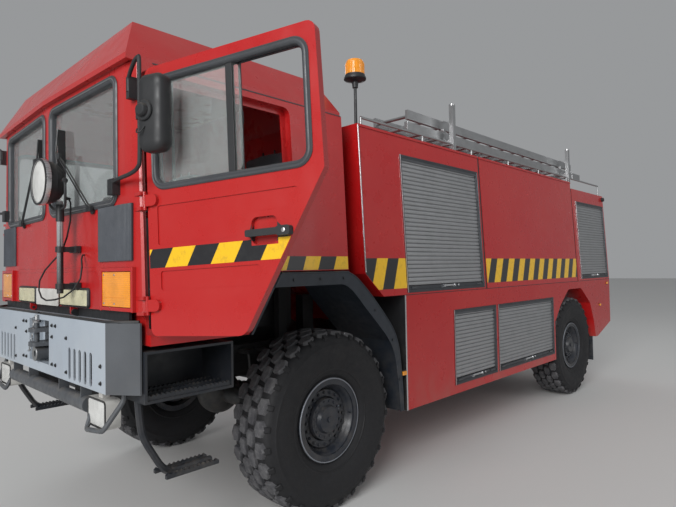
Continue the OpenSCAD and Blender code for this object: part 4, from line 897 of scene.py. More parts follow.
# Sections of the windscreen's rubber and of its filler strip, as (growth, depth)
SCREEN_SEAL = ((0.03, 0.001), (0.031, -0.004), (0.024, -0.011), (0.016, -0.008), (0.01, -0.008),
               (0.002, -0.013), (-0.008, -0.009), (-0.014, 0.004), (-0.015, 0.0245), (-0.003, 0.0245),
               (-0.001, 0.001))
SCREEN_TRIM = ((0.0155, -0.0075), (0.0165, -0.0105), (0.0095, -0.0105), (0.0105, -0.0075))


def make_screen():
    """Windscreen rubbers with a bright filler strip."""
    rubber, strip = Form(RIGHT_FRONT), Form(RIGHT_FRONT)
    rubber.seal(PANE, PANE_R, SCREEN_SEAL, "YZ", steps=8)
    strip.seal(PANE, PANE_R, SCREEN_TRIM, "YZ", steps=8)
    rubber.both_sides().piece("screen_seals", seal_rubber, "cab", angle=50)
    strip.both_sides().piece("screen_filler_strips", aluminium, "cab", angle=50)


# Share of the arm's length where its rods draw together, and half thickness of a blade
WIPER_KNEE, BLADE_HALF = 0.9, 0.004
# Wipers in the front's own axes: pivot, arm's top and blade's ends, as (across, Z)
WIPERS = (
    (LEFT_FRONT, (0.7, 2.05), (0.292, 2.415), (0.236, 2.3), (0.228, 2.6)),
    (RIGHT_FRONT, (0.546, 2.046), (0.148, 2.447), (0.12, 2.3), (0.135, 2.6)),
)


def make_wipers():
    """Wipers with twin rods, a blade held at the middle, and a driven spindle."""
    form, rubber = Form(), Form()
    for place, (y, z), (top_y, top_z), low, high in WIPERS:
        for shift in (-0.016, 0.016):
            knee = (-0.036, y + WIPER_KNEE * (top_y - y) + shift, z + WIPER_KNEE * (top_z - z))
            form.tube([(-0.022, y + shift, z), knee, (-0.036, top_y, top_z)], 0.0045, 8, place)
        form.turned(((0, 0), (0.028, 0), (0.028, 0.01), (0.014, 0.014), (0.014, 0.03), (0, 0.032)),
                    fitted(-0.001, y, z, -90, "Y", place), 16)
        form.block((-0.034, y - 0.03, z - 0.014), (-0.016, y + 0.03, z + 0.014), place)
        form.block((-0.046, top_y - 0.02, top_z - 0.018), (-0.028, top_y + 0.02, top_z + 0.018), place)
        middle = ((low[0] + high[0]) / 2, (low[1] + high[1]) / 2)
        form.tube([(-0.038, top_y, top_z), (-0.034, *middle)], 0.007, 8, place)
        form.tube([(-0.02, *low), (-0.032, *middle), (-0.02, *high)], 0.006, 6, place)
        low, high = Vector(low), Vector(high)
        across = (high - low).orthogonal().normalized() * BLADE_HALF
        rubber.prism([low - across, low + across, high + across, high - across], -0.02, 0.0245, "YZ", place)
    wipers = form.piece("wiper_arms", black_metal, "cab", slot="dark_plastic", bevel=0.001)
    rubber.piece("wiper_blades", cable_rubber, "cab")
    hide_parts("wipers")


# On the cab's front, as (across, Z) or as boxes of them
INDICATOR_SCREWS = ((0.862, 1.515), (0.862, 1.67), (0.985, 1.515), (0.985, 1.67))
HEADLAMP_BEZEL = (0.245, 1.49, 0.64, 1.582)
FRONT_PLATE = (-0.21, 1.475, 0.21, 1.585)


def make_front_trim():
    """Indicator frames, lamp bezels, screws, swage lines and a blank plate on the cab's front."""
    red, dark, bright, frames = Form(), Form(), Form(), Form()
    # Frames round the wrapped indicators, with screws and a moulded line on the lens
    corner_strip(frames, 1.474, 1.499, 0.0, 0.02)
    corner_strip(frames, 1.686, 1.711, 0.0, 0.02)
    frames.block((-1.439, -0.842, 1.474), (-1.414, -0.815, 1.711))
    frames.block((-1.418, -1.174, 1.474), (-1.395, -1.1515, 1.711))
    frames.both_sides().piece("indicator_frames", red_paint, "cab", bevel=0.003)
    line = Form()
    corner_strip(line, 1.545, 1.551, 0.014, 0.0175, 4)
    line.both_sides().piece("indicator_lines", orange_lens, "cab")
    for place in (LEFT_FRONT, RIGHT_FRONT):
        dark.seal(HEADLAMP_BEZEL, 0.01, ((0.014, 0.0), (0.012, -0.01), (0.003, -0.018),
                                                        (0.0015, 0.0)), "YZ", place)
        for y, z in INDICATOR_SCREWS:
            bright.turned(((0, 0), (0.006, 0), (0.005, 0.002), (0, 0.0025)),
                          fitted(-0.0165, y, z, -90, "Y", place), 10)
        # The front panel's swage lines below the windscreen
        for z in (1.715, 1.69):
            red.prism(rounded(0.03, z, 0.72, z + 0.008, 0.004, 2), -0.003, 0.001, "YZ", place)
    plate = Form()
    plate.prism(rounded(*FRONT_PLATE, 0.01, 3), CAB_NOSE - 0.008, CAB_NOSE - 0.002, "YZ")
    plate.piece("front_plate", white_paint, "cab", bevel=0.001)
    red.piece("front_swages", red_paint, "cab", bevel=0.002)
    dark.piece("headlamp_bezels", dark_plastic, "cab", bevel=0.001)
    bright.piece("front_screws", bright_metal, "cab")


# The search lamp's centre and radius, and its ring and glass as (growth, height) rows
SEARCH_LAMP, SEARCH_LAMP_R = (-1.56, -0.48, 2.215), 0.135
LAMP_RING = ((-0.014, 0.1485), (-0.001, 0.1495), (0.001, 0.14), (0.001, 0.118), (-0.0005, 0.118),
             (-0.0005, 0.139), (-0.004, 0.1465), (-0.014, 0.1465))
LAMP_GLASS = ((-0.135, 0.1475), (-0.085, 0.147), (-0.035, 0.145), (-0.0125, 0.1425), (-0.0125, 0.1405),
              (-0.135, 0.1462))


def make_search_lamp():
    """The search lamp's glass, bright ring, yoke, clamps and gland."""
    x, y, z = SEARCH_LAMP
    facing = fitted(x + 0.06, y, z, -90, "Y")
    ring, glass, dark = Form(), Form(), Form()
    ring.turned([(SEARCH_LAMP_R + by, height) for by, height in LAMP_RING], facing, 48, closed=True)
    glass.turned([(SEARCH_LAMP_R + by, height) for by, height in LAMP_GLASS], facing, 48)
    for side in (-1, 1):
        path = [(x + 0.01, y + side * 0.139, z), (x + 0.012, y + side * 0.139, z - 0.09),
                (x + 0.025, y + side * 0.09, z - 0.145), (x + 0.03, y, z - 0.152)]
        dark.tube(smooth_path(path), 0.008, 8)
        dark.turned(((0, 0), (0.016, 0), (0.016, 0.01), (0.008, 0.014), (0, 0.014)),
                    fitted(x + 0.01, y + side * 0.134, z, -side * 90, "X"), 14)
    for clamp_z in (1.607, 1.825):
        dark.turned(((0.0185, -0.017), (0.026, -0.017), (0.026, 0.017), (0.0185, 0.017)),
                    fitted(x + 0.03, y, clamp_z), 20, closed=True)
        dark.block((-1.46, y - 0.055, clamp_z - 0.02), (-1.4315, y + 0.055, clamp_z + 0.02))
    dark.turned(((0, 0), (0.011, 0), (0.008, 0.018), (0.0052, 0.03), (0, 0.03)),
                fitted(-1.5, y, 2.13, 90, "Y"), 12)
    dark.tube([(x + 0.03, y, 1.99), (x + 0.03, y, 2.09)], 0.0235, 14)
    ring.piece("search_lamp_ring", bright_metal, "cab")
    glass.piece("search_lamp_glass", lamp_face, "cab")
    dark.piece("search_lamp_fittings", black_metal, "cab", bevel=0.001)


# The left mirror's outline in its own axes, its corners' radius, and where it stands
MIRROR_BOX = (-0.078, -0.19, 0.078, 0.19)
MIRROR_CORNER = 0.05
MIRROR_PLACE = fitted(-1.423, -1.44, 2.45, 20, "Z")
# Rows of the housing from its front to its rear, as (depth, distance inward from the outline)
MIRROR_ROWS = ((-0.044, 0.046), (-0.0415, 0.024), (-0.031, 0.008), (-0.014, 0.0), (0.018, 0.0),
               (0.034, 0.003), (0.041, 0.01))
MIRROR_ARM = ((-1.42, -1.165, 2.66), (-1.428, -1.178, 2.7), (-1.445, -1.27, 2.742), (-1.45, -1.322, 2.752),
              (-1.45, -1.336, 2.725), (-1.45, -1.337, 2.48), (-1.45, -1.336, 2.255), (-1.45, -1.318, 2.205),
              (-1.45, -1.24, 2.183), (-1.45, -1.1, 2.174), (-1.444, -1.00, 2.166))


def make_mirrors():
    """Mirrors: a bowed arm, brackets, a swivel, a moulded housing and its glass."""
    for side in ("left", "right"):
        arm, shell, glass = Form(), Form(), Form()
        arm.tube(smooth_path(MIRROR_ARM, 4), 0.0105, 10)
        arm.block((-1.432, -1.182, 2.585), (-1.372, -1.15, 2.7))
        arm.turned(((0, -0.035), (0.017, -0.033), (0.017, 0.033), (0, 0.035)), fitted(-1.42, -1.165, 2.655),
                   14)
        arm.block((-1.455, -1.03, 2.1), (-1.405, -0.965, 2.185))
        shell.rings([[(x, y, z) for y, z in grown(MIRROR_BOX, MIRROR_CORNER, -g)] for x, g in MIRROR_ROWS],
                    MIRROR_PLACE)
        arm.turned(((0, 0), (0.048, 0), (0.05, 0.008), (0.046, 0.014), (0.034, 0.015), (0.032, 0.028),
                    (0.025, 0.036), (0, 0.038)), fitted(-0.043, 0.022, 0.005, -90, "Y", MIRROR_PLACE), 28)
        arm.tube([(-1.45, -1.337, 2.46), (-1.478, -1.405, 2.455)], 0.01, 8)
        arm.turned(((0.0105, -0.024), (0.018, -0.024), (0.018, 0.024), (0.0105, 0.024)),
                   fitted(-1.45, -1.337, 2.46), 16, closed=True)
        arm.tube(smooth_path([(-0.04, 0.075, -0.075), (-0.058, 0.06, -0.098), (-0.06, 0.035, -0.098),
                              (-0.046, 0.02, -0.07)]), 0.0035, 6, MIRROR_PLACE)
        glass.prism(grown(MIRROR_BOX, MIRROR_CORNER, -0.018), 0.0405, 0.0425, "YZ", MIRROR_PLACE)
        for form in (arm, shell, glass):
            if side == "right":
                form.points = [OTHER_SIDE @ p for p in form.points]
        arm.piece("mirror_arm_" + side, black_metal, "cab", bevel=0.001)
        housing = shell.piece("mirror_housing_" + side, dark_plastic, "cab", angle=50)
        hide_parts("mirror_" + side)
        glass.piece("mirror_glass_" + side, mirror_glass, "cab")


# Skin of the cab's front and corner at lamp height, as (X, distance from the centreline)
CORNER_SKIN = ((-1.418, 0.817), (-1.412, 1.0), (-1.4085, 1.089), (-1.4, 1.158), (-1.3965, 1.172))


def corner_strip(form, z0, z1, low, high, last=5):
    """A strip that follows the cab's corner between two heights, from low to high above its skin."""
    form.rings([[(x - low, -y, z0), (x - high, -y, z0 + 0.003), (x - high, -y, z1 - 0.003), (x - low, -y, z1)]
                for x, y in CORNER_SKIN[:last]])


# Where the cab's front turns into its round corner, from the centreline, and how deep that goes
CORNER_Y, CORNER_DEPTH = 1.0, 0.046
# Ribs of a corner panel, where it begins from the centreline, and its heights
PANEL_RIBS = 30
PANEL_Y, PANEL_Z = 0.78, (1.745, 2.045)
# Steps across one rib, as (share of its width, height above the cab's skin)
RIB_STEPS = ((0.0, 0.0085), (0.2, 0.0125), (0.5, 0.0135), (0.8, 0.0125))


def cab_skin(s, z):
    """A point of the cab's front and round corner, by its distance s from the centre line."""
    corner = CAB_HALF - math.tan(CAB_LEAN) * (z - CAB_Z) - CORNER_Y
    if s <= CORNER_Y:
        return CAB_NOSE + (CAB_FRONT - CAB_NOSE) * s, s
    share = min((s - CORNER_Y) / corner, 1.0)
    return CAB_FRONT + CORNER_DEPTH * (1 - math.cos(math.asin(share))), s


def make_corner_panels():
    """Dark panels round the cab's corners, with upright ribs."""
    form = Form()
    rings = []
    width = 1.158 - PANEL_Y
    for z in PANEL_Z:
        outer, inner = [], []
        for i in range(PANEL_RIBS):
            for share, rise in RIB_STEPS:
                s = PANEL_Y + width * (i + share) / PANEL_RIBS
                x, y = cab_skin(s, z)
                slope = max(0.0, s - CORNER_Y) * 1.2
                outer.append((x - rise, -y - rise * slope, z))
                inner.append((x - 0.0015, -y, z))
        rings.append(outer + inner[::-1])
    form.rings(rings)
    panels = form.both_sides().piece("corner_panel_sheets", panel_plastic, "cab", angle=60)
    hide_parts("corner_panels")


# The bumper's bolts, as (distance from the centreline, Z), and the middle of a fog lamp
BUMPER_BOLTS = ((0.25, 1.36), (0.31, 1.36), (0.25, 1.29), (0.31, 1.12), (0.25, 1.12), (0.98, 1.19),
                (0.98, 1.1), (0.49, 1.1), (0.49, 1.3))
FOG_Y, FOG_Z = 0.854, 0.92
CHAIN_LINKS = 9


def make_bumper_trim():
    """The bumper's bolts and top strip, the coupling's pin and chain, and the fog lamps' faces."""
    bolts, dark, pale = Form(), Form(), Form()
    for side in (-1, 1):
        for y, z in BUMPER_BOLTS:
            spot = fitted(BUMPER_X, side * y, z, -90, "Y")
            bolts.turned(((0, 0), (0.012, 0), (0.012, 0.003), (0.0, 0.003)), spot, 12)
            bolts.prism(hexagon(0.008), 0.003, 0.01, "XY", spot)
    bolts.piece("bumper_bolts", black_metal, "chassis", bevel=0.0008)
    # Rubber strip on the bumper's top edge, under the cab
    for side in (-1, 1):
        corners = ((-1.492, 0.02), (-1.492, 1.03), (-1.45, 1.1), (-1.385, 1.185))
        dark.tube([(x, side * y, BUMPER_TOP + 0.004) for x, y in corners], 0.01, 8)
    # The pressing behind the gap between bumper and cab
    dark.block((-1.4, -1.1, BUMPER_TOP - 0.06), (-1.385, 1.1, 1.49))
    dark.piece("bumper_top_strip", dark_plastic, "chassis")
    pin = Form()
    pin.turned(((0, 0), (0.024, 0), (0.026, 0.012), (0.014, 0.02), (0.012, 0.05), (0, 0.052)),
               fitted(-1.512, 0, 1.365), 16)
    pin.turned(((0.0205, 0.0), (0.0475, 0.0), (0.046, 0.003), (0.032, 0.004), (0.024, 0.0015)),
               fitted(-1.525, 0, 1.165, -90, "Y"), 32, closed=True)
    for i in range(CHAIN_LINKS):
        t = i / (CHAIN_LINKS - 1)
        centre = Vector((-1.522, 0.03 + 0.09 * t, 1.385 - 0.16 * math.sin(math.pi * t * 0.5) - 0.05 * t))
        link = moved(*centre) @ turn(60 * t, "X") @ turn(90 * (i % 2), "Z")
        oval = [(0.008 * x, 0, 0.014 * z) for x, z in circle(0, 0, 1, 12)]
        pin.tube(oval, 0.0025, 6, VEHICLE @ link, closed=True)
    pin.piece("coupling_pin_chain", aluminium, "chassis", angle=50)
    rims = Form()
    for side in (-1, 1):
        lamp = (side * FOG_Y - 0.107, FOG_Z - 0.068, side * FOG_Y + 0.107, FOG_Z + 0.068)
        pale.prism(rounded(*lamp, 0.016, 4), -1.474, -1.4695, "YZ")
        rims.seal((lamp[0] - 0.005, lamp[1] - 0.005, lamp[2] + 0.005, lamp[3] + 0.005), 0.018,
                  ((0.006, -1.468), (0.005, -1.476), (-0.004, -1.476), (-0.005, -1.468)), "YZ")
    pale.piece("fog_lamp_faces", lamp_face, "chassis", bevel=0.002)
    rims.piece("fog_lamp_rims", black_metal, "chassis")


# Body sides

# Sections of a shutter's frame, as (growth, depth), and of one slat, as (depth, share of its height)
SHUTTER_SECTION = ((-0.0005, 0.029), (-0.0005, -0.004), (-0.0025, -0.0055), (-0.011, -0.0055),
                   (-0.012, -0.003), (-0.0235, -0.002), (-0.024, 0.029))
SLAT_SECTION = ((0.0205, 0.0), (0.0135, 0.06), (0.01, 0.22), (0.0088, 0.5), (0.01, 0.8), (0.0135, 0.94))
SLAT_PITCH = 0.035


def make_shutters():
    """Roller shutters: guides, crowned slats, lift bars with locks, and their rubbers."""
    frames, slats, bars, rubber, bright = (Form() for i in range(5))
    forms = (frames, slats, bars, rubber, bright)
    rows = [(BODY_SIDE, box, True) for box in UPPER_SHUTTERS]
    rows += [(SKIRT_SIDE, box, True) for box in LOWER_SHUTTERS] + [(REAR_SIDE, REAR_SHUTTER, False)]
    for place, (x0, z0, x1, z1), paired in rows:
        counts = [(len(form.points), len(form.faces)) for form in forms]
        frames.seal((x0, z0, x1, z1), 0.0005, SHUTTER_SECTION, "XZ", place, steps=1)
        left, right, top, foot = x0 + SHUTTER_FRAME, x1 - SHUTTER_FRAME, z1 - SHUTTER_FRAME, z0 + SHUTTER_BAR
        count = round((top - foot) / SLAT_PITCH)
        pitch = (top - foot) / count
        profile = [(depth, foot + (i + share) * pitch) for i in range(count) for depth, share in SLAT_SECTION]
        profile += [(0.0205, top), (0.028, top), (0.028, foot)]
        slats.prism(profile, left - 0.001, right + 0.001, "YZ", place)
        # Bottom section with its lift bar on two lugs, a lock and end latches
        bars.block((left - 0.001, 0.004, z0 + 0.022), (right + 0.001, 0.028, foot - 0.001), place)
        bars.block((left, 0.0015, z0 + 0.024), (right, 0.0045, z0 + 0.03), place)
        middle = (x0 + x1) / 2
        bright.tube([(middle + by, 0.001, foot - 0.012) for by in (-0.09, 0.09)], 0.009, 12, place)
        for side in (-1, 1):
            bright.block((middle + side * 0.086 - 0.008, -0.0095, foot - 0.026),
                         (middle + side * 0.086 + 0.008, 0.005, foot - 0.003), place)
            spot = middle + side * ((x1 - x0) / 2 - 0.1)
            rubber.block((spot - 0.035, -0.004, z0 + 0.032), (spot + 0.035, 0.005, foot - 0.008), place)
        lock = fitted(middle + 0.16, 0.0045, foot - 0.014, 90, "X", place)
        bright.turned(((0, 0), (0.01, 0), (0.01, 0.005), (0.008, 0.006), (0, 0.006)), lock, 16)
        # Brush over the curtain, rubbers down its sides and a bright edge on the front guide
        rubber.block((left, 0.0, top - 0.022), (right, 0.008, top), place)
        for x in (left + 0.003, right - 0.003):
            rubber.tube([(x, 0.005, foot), (x, 0.005, top)], 0.0035, 6, place)
        bright.block((x0 + 0.0005, -0.0085, z0 + 0.002), (x0 + 0.0065, -0.005, z1 - 0.002), place)
        if paired:
            for form, (points, faces) in zip(forms, counts):
                shift = len(form.points) - points
                form.faces += [tuple(shift + i for i in face) for face in form.faces[faces:]]
                form.points += [OTHER_SIDE @ p for p in form.points[points:]]
    curtain = slats.piece("shutter_curtains", slat_metal, "chassis", angle=50)
    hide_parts("shutters")
    frames.piece("shutter_frames", frame_metal, "chassis", bevel=0.0008)
    bars.piece("shutter_bars", frame_metal, "chassis", bevel=0.001)
    rubber.piece("shutter_rubbers", seal_rubber, "chassis")
    bright.piece("shutter_bright_parts", bright_metal, "chassis")


# Middles of the side lamps, one at the arch and two at the rear, as (X, Z)
SIDE_LAMPS = ((0.775, 0.84), (5.45, 1.1), (5.78, 1.4))


def make_body_trim():
    """The body's edge angles, dark sheets in the channels as painted shade, drip rails, joints and side
    lamps.
    """
    bright, dark, orange, red = Form(), Form(), Form(), Form()
    bright.tube([(BODY_FRONT + 0.002, -0.003, z) for z in (1.65, BODY_TOP - 0.01)], 0.005, 8, BODY_SIDE)
    # Angle along the lower lockers' front edge
    bright.block((SKIRT_FRONT - 0.003, -0.003, SKIRT_Z), (SKIRT_FRONT + 0.014, 0.001, BODY_Z - 0.004),
                 SKIRT_SIDE)
    # Dark sheets in the two channels: painted shade in their depth
    for x, top in ((SEAM_FRONT, BODY_TOP - 0.003), (SEAM_REAR - CHANNEL, 2.698)):
        dark.block((x + 0.001, 0.004, BODY_Z + 0.005), (x + CHANNEL - 0.001, 0.028, top), BODY_SIDE)
    # Drip rails over the shutters and the tank, and the joint under the upper body
    for x0, x1 in ((BODY_FRONT + 0.01, SEAM_FRONT - 0.002), (SEAM_FRONT + CHANNEL, SEAM_REAR - CHANNEL)):
        red.block((x0, -0.008, BODY_TOP - 0.022), (x1, 0.002, BODY_TOP - 0.008), BODY_SIDE)
    dark.block((SKIRT_FRONT + 0.01, -0.0012, BODY_Z - 0.005), (BODY_REAR - 0.01, 0.001, BODY_Z + 0.001),
               SKIRT_SIDE)
    for x, z in SIDE_LAMPS:
        dark.block((x - 0.03, -0.004, z - 0.022), (x + 0.03, 0.001, z + 0.022), SKIRT_SIDE)
        orange.block((x - 0.024, -0.016, z - 0.016), (x + 0.024, -0.003, z + 0.016), SKIRT_SIDE)
    # Fittings at the top rear corner
    dark.turned(((0, 0), (0.03, 0), (0.03, 0.03), (0.02, 0.036), (0, 0.036)),
                fitted(5.85, 0.001, 2.645, 90, "X", BODY_SIDE), 16)
    bright.both_sides().piece("body_edge_trim", bright_metal, "chassis")
    # This dark trim holds the channels' painted shade sheets as well as the real joint, lamp bases and
    # fittings
    dark.both_sides().piece("body_dark_trim_and_channel_shade", dark_plastic, "chassis", bevel=0.001)
    orange.both_sides().piece("side_lamps", orange_lens, "chassis", bevel=0.003)
    red.both_sides().piece("body_drip_rails", red_paint, "chassis", bevel=0.002)


# Outer and inner edge of a front mudguard's lip, from its front end down to its foot
LIP_OUTER = (
    (-0.485, 1.6585), (-0.25, 1.6585), (0.0, 1.6585), (0.12, 1.658), (0.215, 1.622), (0.295, 1.561), (0.385,
                                                                                                      1.482),
    (0.545, 1.32), (0.655, 1.185), (0.712, 1.045), (0.738, 0.86), (0.752, 0.7), (0.757, 0.546),
)
LIP_INNER = (
    (-0.54, 1.572), (-0.25, 1.572), (0.0, 1.572), (0.095, 1.568), (0.17, 1.53), (0.24, 1.47), (0.315, 1.395),
    (0.475, 1.245), (0.585, 1.13), (0.65, 1.02), (0.688, 0.85), (0.708, 0.7), (0.72, 0.546),
)
LIP_BOLTS = ((-0.38, 1.615), (-0.14, 1.615), (0.09, 1.615), (0.43, 1.365), (0.635, 1.12), (0.712, 0.8))


def make_mudguard_lips():
    """A curved rubber lip round the outer edge of each front mudguard, with its bolts."""
    lip, bolts = Form(), Form()
    outer, inner = (smooth_path([(x, 0, z) for x, z in edge]) for edge in (LIP_OUTER, LIP_INNER))
    lip.rings([[(a.x, -0.005, a.z), (a.x, 0.0008, a.z), (b.x, 0.0008, b.z), (b.x, -0.005, b.z)]
               for a, b in zip(outer, inner)], SKIRT_SIDE)
    lip.tube([(p.x, -0.003, p.z) for p in outer], 0.006, 8, SKIRT_SIDE)
    for x, z in LIP_BOLTS:
        bolts.turned(((0, 0), (0.013, 0), (0.013, 0.002), (0.009, 0.002), (0.009, 0.007), (0, 0.008)),
                     fitted(x, -0.0045, z, 90, "X", SKIRT_SIDE), 6)
    lip.both_sides().piece("mudguard_lips", mudguard_plastic, "chassis", angle=40)
    bolts.both_sides().piece("mudguard_bolts", step_metal, "chassis")


REAR_LAMPS = ((1.085, orange_lens), (1.225, red_lens), (1.365, clear_lens))
REAR_PLATE = (-0.26, 1.2, 0.26, 1.31)


def make_rear_trim():
    """The rear lamps' lenses and rings, and a blank plate."""
    for z, material in REAR_LAMPS:
        form, ring = Form(), Form()
        facing = fitted(BODY_REAR + 0.034, -1.14, z, 90, "Y")
        form.turned(((0.0, 0.0), (0.052, 0.0), (0.05, 0.01), (0.04, 0.016), (0.0, 0.018)), facing, 32)
        ring.turned(((0.0585, -0.02), (0.061, -0.02), (0.061, 0.004), (0.052, 0.007), (0.0515, 0.0),
                     (0.0585, 0.0)),
                    facing, 32, closed=True)
        name = str(int(z * 1000))
        form.both_sides().piece("rear_lamp_lens_" + name, material, "chassis")
        ring.both_sides().piece("rear_lamp_ring_" + name, black_metal, "chassis")
    plate = Form()
    plate.prism(rounded(*REAR_PLATE, 0.012, 4), BODY_REAR + 0.001, BODY_REAR + 0.006, "YZ")
    plate.piece("rear_plate", white_paint, "chassis", bevel=0.001)


BEACON = fitted(0.445, -1.08, BODY_TOP + 0.318)
# Along the body: the walkway's plates over the high part, and the ladder's posts and hooks
WALKWAYS = ((0.42, 2.1), (2.24, 4.58))
LADDER_POSTS, LADDER_HOOKS = (1.745, 4.63), (1.19, 5.07)


def make_roof():
    """The beacon's ribs and base ring, the walkway, the ladder's fittings and the cab roof's joint."""
    ribs, base, walk, fittings, joint = (Form() for i in range(5))
    for i in range(24):
        ribs.tube([(0.0738, 0, 0.104), (0.0738, 0, 0.186), (0.063, 0, 0.21)], 0.0022, 6,
                  BEACON @ turn(15 * i, "Z"))
    ribs.piece("beacon_ribs", orange_lens, "chassis")
    base.turned(((0.066, 0.088), (0.082, 0.076), (0.086, 0.066), (0.088, 0.066), (0.088, 0.078),
                 (0.079, 0.092), (0.079, 0.1), (0.074, 0.1), (0.074, 0.093)), BEACON, 40, closed=True)
    base.turned(((0.0125, -0.3), (0.03, -0.305), (0.03, -0.31), (0.0125, -0.31)), BEACON, 20, closed=True)
    base.piece("beacon_base_ring", black_metal, "chassis")
    for x0, x1 in WALKWAYS:
        walk.block((x0, -0.52, BODY_TOP + 0.0005), (x1, 0.95, BODY_TOP + 0.004))
    walk.block((4.7, -0.95, 2.7005), (5.8, 0.95, 2.704))
    walk.piece("roof_walkway", step_plate, "chassis")
    for x in LADDER_POSTS:
        fittings.tube([(x, -1.156, BODY_TOP + 0.43), (x, -1.156, BODY_TOP + 0.447)], 0.026, 12)
        fittings.tube(smooth_path([(x + 0.03, -1.06, 2.885), (x + 0.03, -1.12, 2.93), (x + 0.03, -1.12, 3.05),
                                   (x + 0.03, -1.04, 3.1)]), 0.006, 8)
    for x in LADDER_HOOKS:
        for y in (-1.06, -0.62):
            fittings.block((x - 0.06, y - 0.018, 2.882), (x - 0.052, y + 0.018, 2.972))
    joint.block((-1.3, -0.003, 2.7975), (CAB_REAR - 0.01, 0.01, 2.8035), CAB_SIDE)
    joint.both_sides().piece("roof_joint", seal_rubber, "cab")
    fittings.piece("ladder_fittings", bright_metal, "chassis", bevel=0.001)


# Cab interior

# How far a pad's edges are rounded off, as a share, and the depth of its seams
EDGE_PULL, SEAM_DEPTH = 0.1, 0.006


def padded_block(name, low, high, swell, grooves):
    """A seat's pad: a subdivided box whose faces crown and whose edges pull in."""
    work = bmesh.new()
    bmesh.ops.create_cube(work, size=1.0)
    bmesh.ops.subdivide_edges(work, edges=work.edges, cuts=9, use_grid_fill=True)
    size = [b - a for a, b in zip(low, high)]
    middle = Vector([(a + b) / 2 for a, b in zip(low, high)])
    for vert in work.verts:
        # Round the box's edges, then crown each face
        c = vert.co * 2
        c = c * (1 - EDGE_PULL) + c.normalized() * max(abs(v) for v in c) * 1.22 * EDGE_PULL
        p = Vector([v / 2 * length for v, length in zip(c, size)])
        axis = max(range(3), key=lambda k: abs(c[k]))
        push = swell * math.prod(1 - min(1, c[k] * c[k]) for k in range(3) if k != axis)
        for groove_axis, groove_at, groove_w in grooves:
            gap = abs(c[groove_axis] - groove_at) / groove_w
            if groove_axis != axis and gap < 1:
                push -= SEAM_DEPTH * (1 - gap * gap)
        p[axis] += push if c[axis] > 0 else -push
        vert.co = VEHICLE @ (p + middle)
    mesh = bpy.data.meshes.new(name)
    for face in work.faces:
        face.smooth = True
    work.to_mesh(mesh)
    work.free()
    mesh.materials.append(seat_cloth)
    piece = stood(name, mesh, "cab")
    smooth = piece.modifiers.new("smooth", "SUBSURF")
    smooth.levels = smooth.render_levels = 1


# Heights of the cab's floor and of a seat's base, half width of the dashboard, and the seats' places
FLOOR_Z, SEAT_Z, CAB_INNER = 1.345, 1.718, 1.08
SEATS = ((-0.62, "left"), (0.62, "right"))
# Across the cab: the pedals, and the dials with their radii
PEDALS = (-0.7, -0.6, -0.46)
DIALS = ((-0.66, 0.045), (-0.56, 0.032), (-0.47, 0.045))
# Seams across a pad, as (axis, place, width) in shares of its half size
SIDE_SEAMS = ((1, -0.55, 0.08), (1, 0.55, 0.08))
BACK_SEAM = (2, 0.2, 0.06)


def make_interior():
    """Seats, dashboard, column, pedals, gear lever, floor mat and dials inside the cab."""
    base, lining, dials = Form(), Form(), Form()
    for y, side in SEATS:
        padded_block("seat_cushion_" + side, (-0.43, y - 0.235, 1.775), (-0.07, y + 0.235, 1.895), 0.008,
                     SIDE_SEAMS)
        padded_block("seat_back_" + side, (-0.115, y - 0.235, 1.91), (-0.008, y + 0.235, 2.56), 0.006,
                     (*SIDE_SEAMS, BACK_SEAM))
        base.block((-0.42, y - 0.2, SEAT_Z), (-0.08, y + 0.2, 1.775))
        base.block((-0.1, y - 0.2, 1.78), (-0.03, y + 0.2, 1.92))
        for side in (-1, 1):
            base.tube([(-0.06, y + side * 0.07, 2.54), (-0.06, y + side * 0.07, 2.6)], 0.008, 8)
    # Dashboard with a hooded binnacle, and the panel below it
    base.prism([(-1.33, 1.8), (-1.16, 1.8), (-1.165, 1.9), (-1.19, 1.975), (-1.33, 1.98)], -CAB_INNER,
               CAB_INNER)
    base.prism([(-1.28, 1.97), (-1.165, 1.955), (-1.155, 1.98), (-1.2, 2.035), (-1.27, 2.03)], -0.78, -0.34)
    base.block((-1.302, -CAB_INNER, FLOOR_Z), (-1.272, CAB_INNER, 1.8))
    base.prism([(-1.33, 1.587), (-1.315, 1.565), (-1.1, 1.97), (-1.12, 1.985)], -0.59, -0.53)
    for y in PEDALS:
        base.block((-1.25, y - 0.03, 1.42), (-1.235, y + 0.03, 1.5))
        base.tube([(-1.24, y, 1.45), (-1.27, y, 1.6)], 0.006, 6)
    base.tube(smooth_path([(-0.95, 0.0, FLOOR_Z), (-0.95, 0.0, 1.6), (-0.9, -0.02, 1.78)]), 0.01, 8)
    base.turned(((0, -0.022), (0.02, -0.014), (0.024, 0.0), (0.02, 0.014), (0, 0.022)),
                fitted(-0.9, -0.02, 1.79), 16)
    room = base.piece("cab_fittings", dark_plastic, "cab", bevel=0.006)
    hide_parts("cab_interior")
    lining.block((-0.735, -CAB_INNER, FLOOR_Z), (-0.7, CAB_INNER, FLOOR_Z + 0.01))
    lining.block((-1.27, -CAB_INNER, FLOOR_Z), (-0.76, CAB_INNER, FLOOR_Z + 0.006))
    lining.piece("cab_floor_mat", trim_vinyl, "cab", slot="seal_rubber")
    for y, r in DIALS:
        dials.turned(((0, 0.001), (r, 0.001), (r, 0.008), (r - 0.005, 0.008), (r - 0.006, 0.004), (0, 0.004)),
                     fitted(-1.1595, y, 1.972, 65, "Y"), 24)
    dials.piece("dashboard_dials", bright_metal, "cab")


STEERING_PLACE = fitted(-1.08, -0.56, 2.02, 30, "Y")
# A spoke's rows outward from the hub, as (distance, half width, height)
SPOKE = ((0.03, 0.024, -0.004), (0.1, 0.016, -0.006), (0.19, 0.013, -0.002), (0.222, 0.016, 0.0))


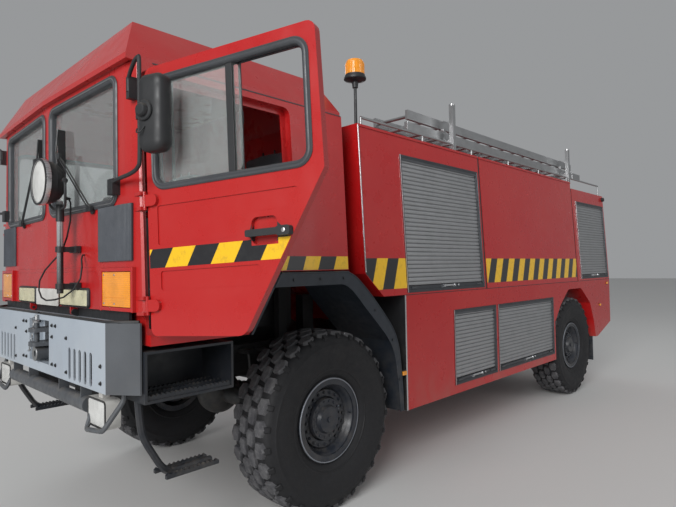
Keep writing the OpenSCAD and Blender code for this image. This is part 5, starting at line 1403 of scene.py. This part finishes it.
def make_steering_wheel():
    """A wheel rim with grip, three spokes and a hub, in its CAD place."""
    form = Form(STEERING_PLACE)
    form.tube([(x, y, 0) for x, y in circle(0, 0, 0.23, 64)], 0.0148, 12, closed=True)
    for a in (90, 210, 330):
        form.rings([[(d, -half, z - 0.004), (d, half, z - 0.004), (d, half, z + 0.004), (d, -half, z + 0.004)]
                    for d, half, z in SPOKE], STEERING_PLACE @ turn(a, "Z"))
    form.turned(((0, -0.089), (0.012, -0.089), (0.012, -0.03), (0.044, -0.029), (0.0445, 0.004),
                 (0.036, 0.013), (0, 0.0145)), steps=32)
    wheel = form.piece("steering_wheel_rim", dark_plastic, "steering_wheel", angle=45)
    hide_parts("steering_wheel")


# Floor and light

FLOOR_HALF = 60


def make_floor():
    """A plain pale floor that reaches past every view."""
    mesh = bpy.data.meshes.new("floor")
    corners = [(x * FLOOR_HALF, y * FLOOR_HALF, 0) for x, y in ((-1, -1), (1, -1), (1, 1), (-1, 1))]
    mesh.from_pydata(corners, [], [(0, 1, 2, 3)])
    floor = stood("floor", mesh)
    mesh.materials.append(Look("floor_grey").finish({"Base Color": (0.62, 0.62, 0.61, 1), "Roughness": 0.7}))


# Name, place, size and power of each lamp, and the point that they are aimed at
LAMPS = (
    ("key_lamp", (-24, -10.2, 12), 12.8, 6400),
    ("side_lamp", (3, -10, 5), 6, 110),
    ("back_lamp", (6, 8, 6), 6, 160),
)
LIT_POINT = (-1, 0, 1.5)
WORLD_COLOUR, WORLD_STRENGTH = (0.86, 0.88, 0.9, 1), 0.36


def make_light():
    """Plain studio light: a pale world, a large lamp ahead of the cab, and two weak ones."""
    for name, place, size, power in LAMPS:
        data = bpy.data.lights.new(name, "AREA")
        data.shape = "SQUARE"
        data.size = size
        data.energy = power
        light = stood(name, data)
        light.location = place
        light.rotation_euler = (Vector(LIT_POINT) - Vector(place)).to_track_quat("-Z", "Y").to_euler()
    world = bpy.data.worlds.new("studio")
    world.use_nodes = True
    world.node_tree.nodes["Background"].inputs["Color"].default_value = WORLD_COLOUR
    world.node_tree.nodes["Background"].inputs["Strength"].default_value = WORLD_STRENGTH
    bpy.context.scene.world = world


for make in (make_camera, make_cable, dress_nodes, make_wheels, make_stripes, make_doors, make_screen,
             make_wipers, make_front_trim, make_search_lamp, make_mirrors, make_corner_panels,
             make_bumper_trim, make_shutters, make_body_trim, make_mudguard_lips, make_rear_trim, make_roof,
             make_interior, make_steering_wheel, make_floor, make_light):
    make()
bpy.context.scene.view_settings.view_transform = "Standard"
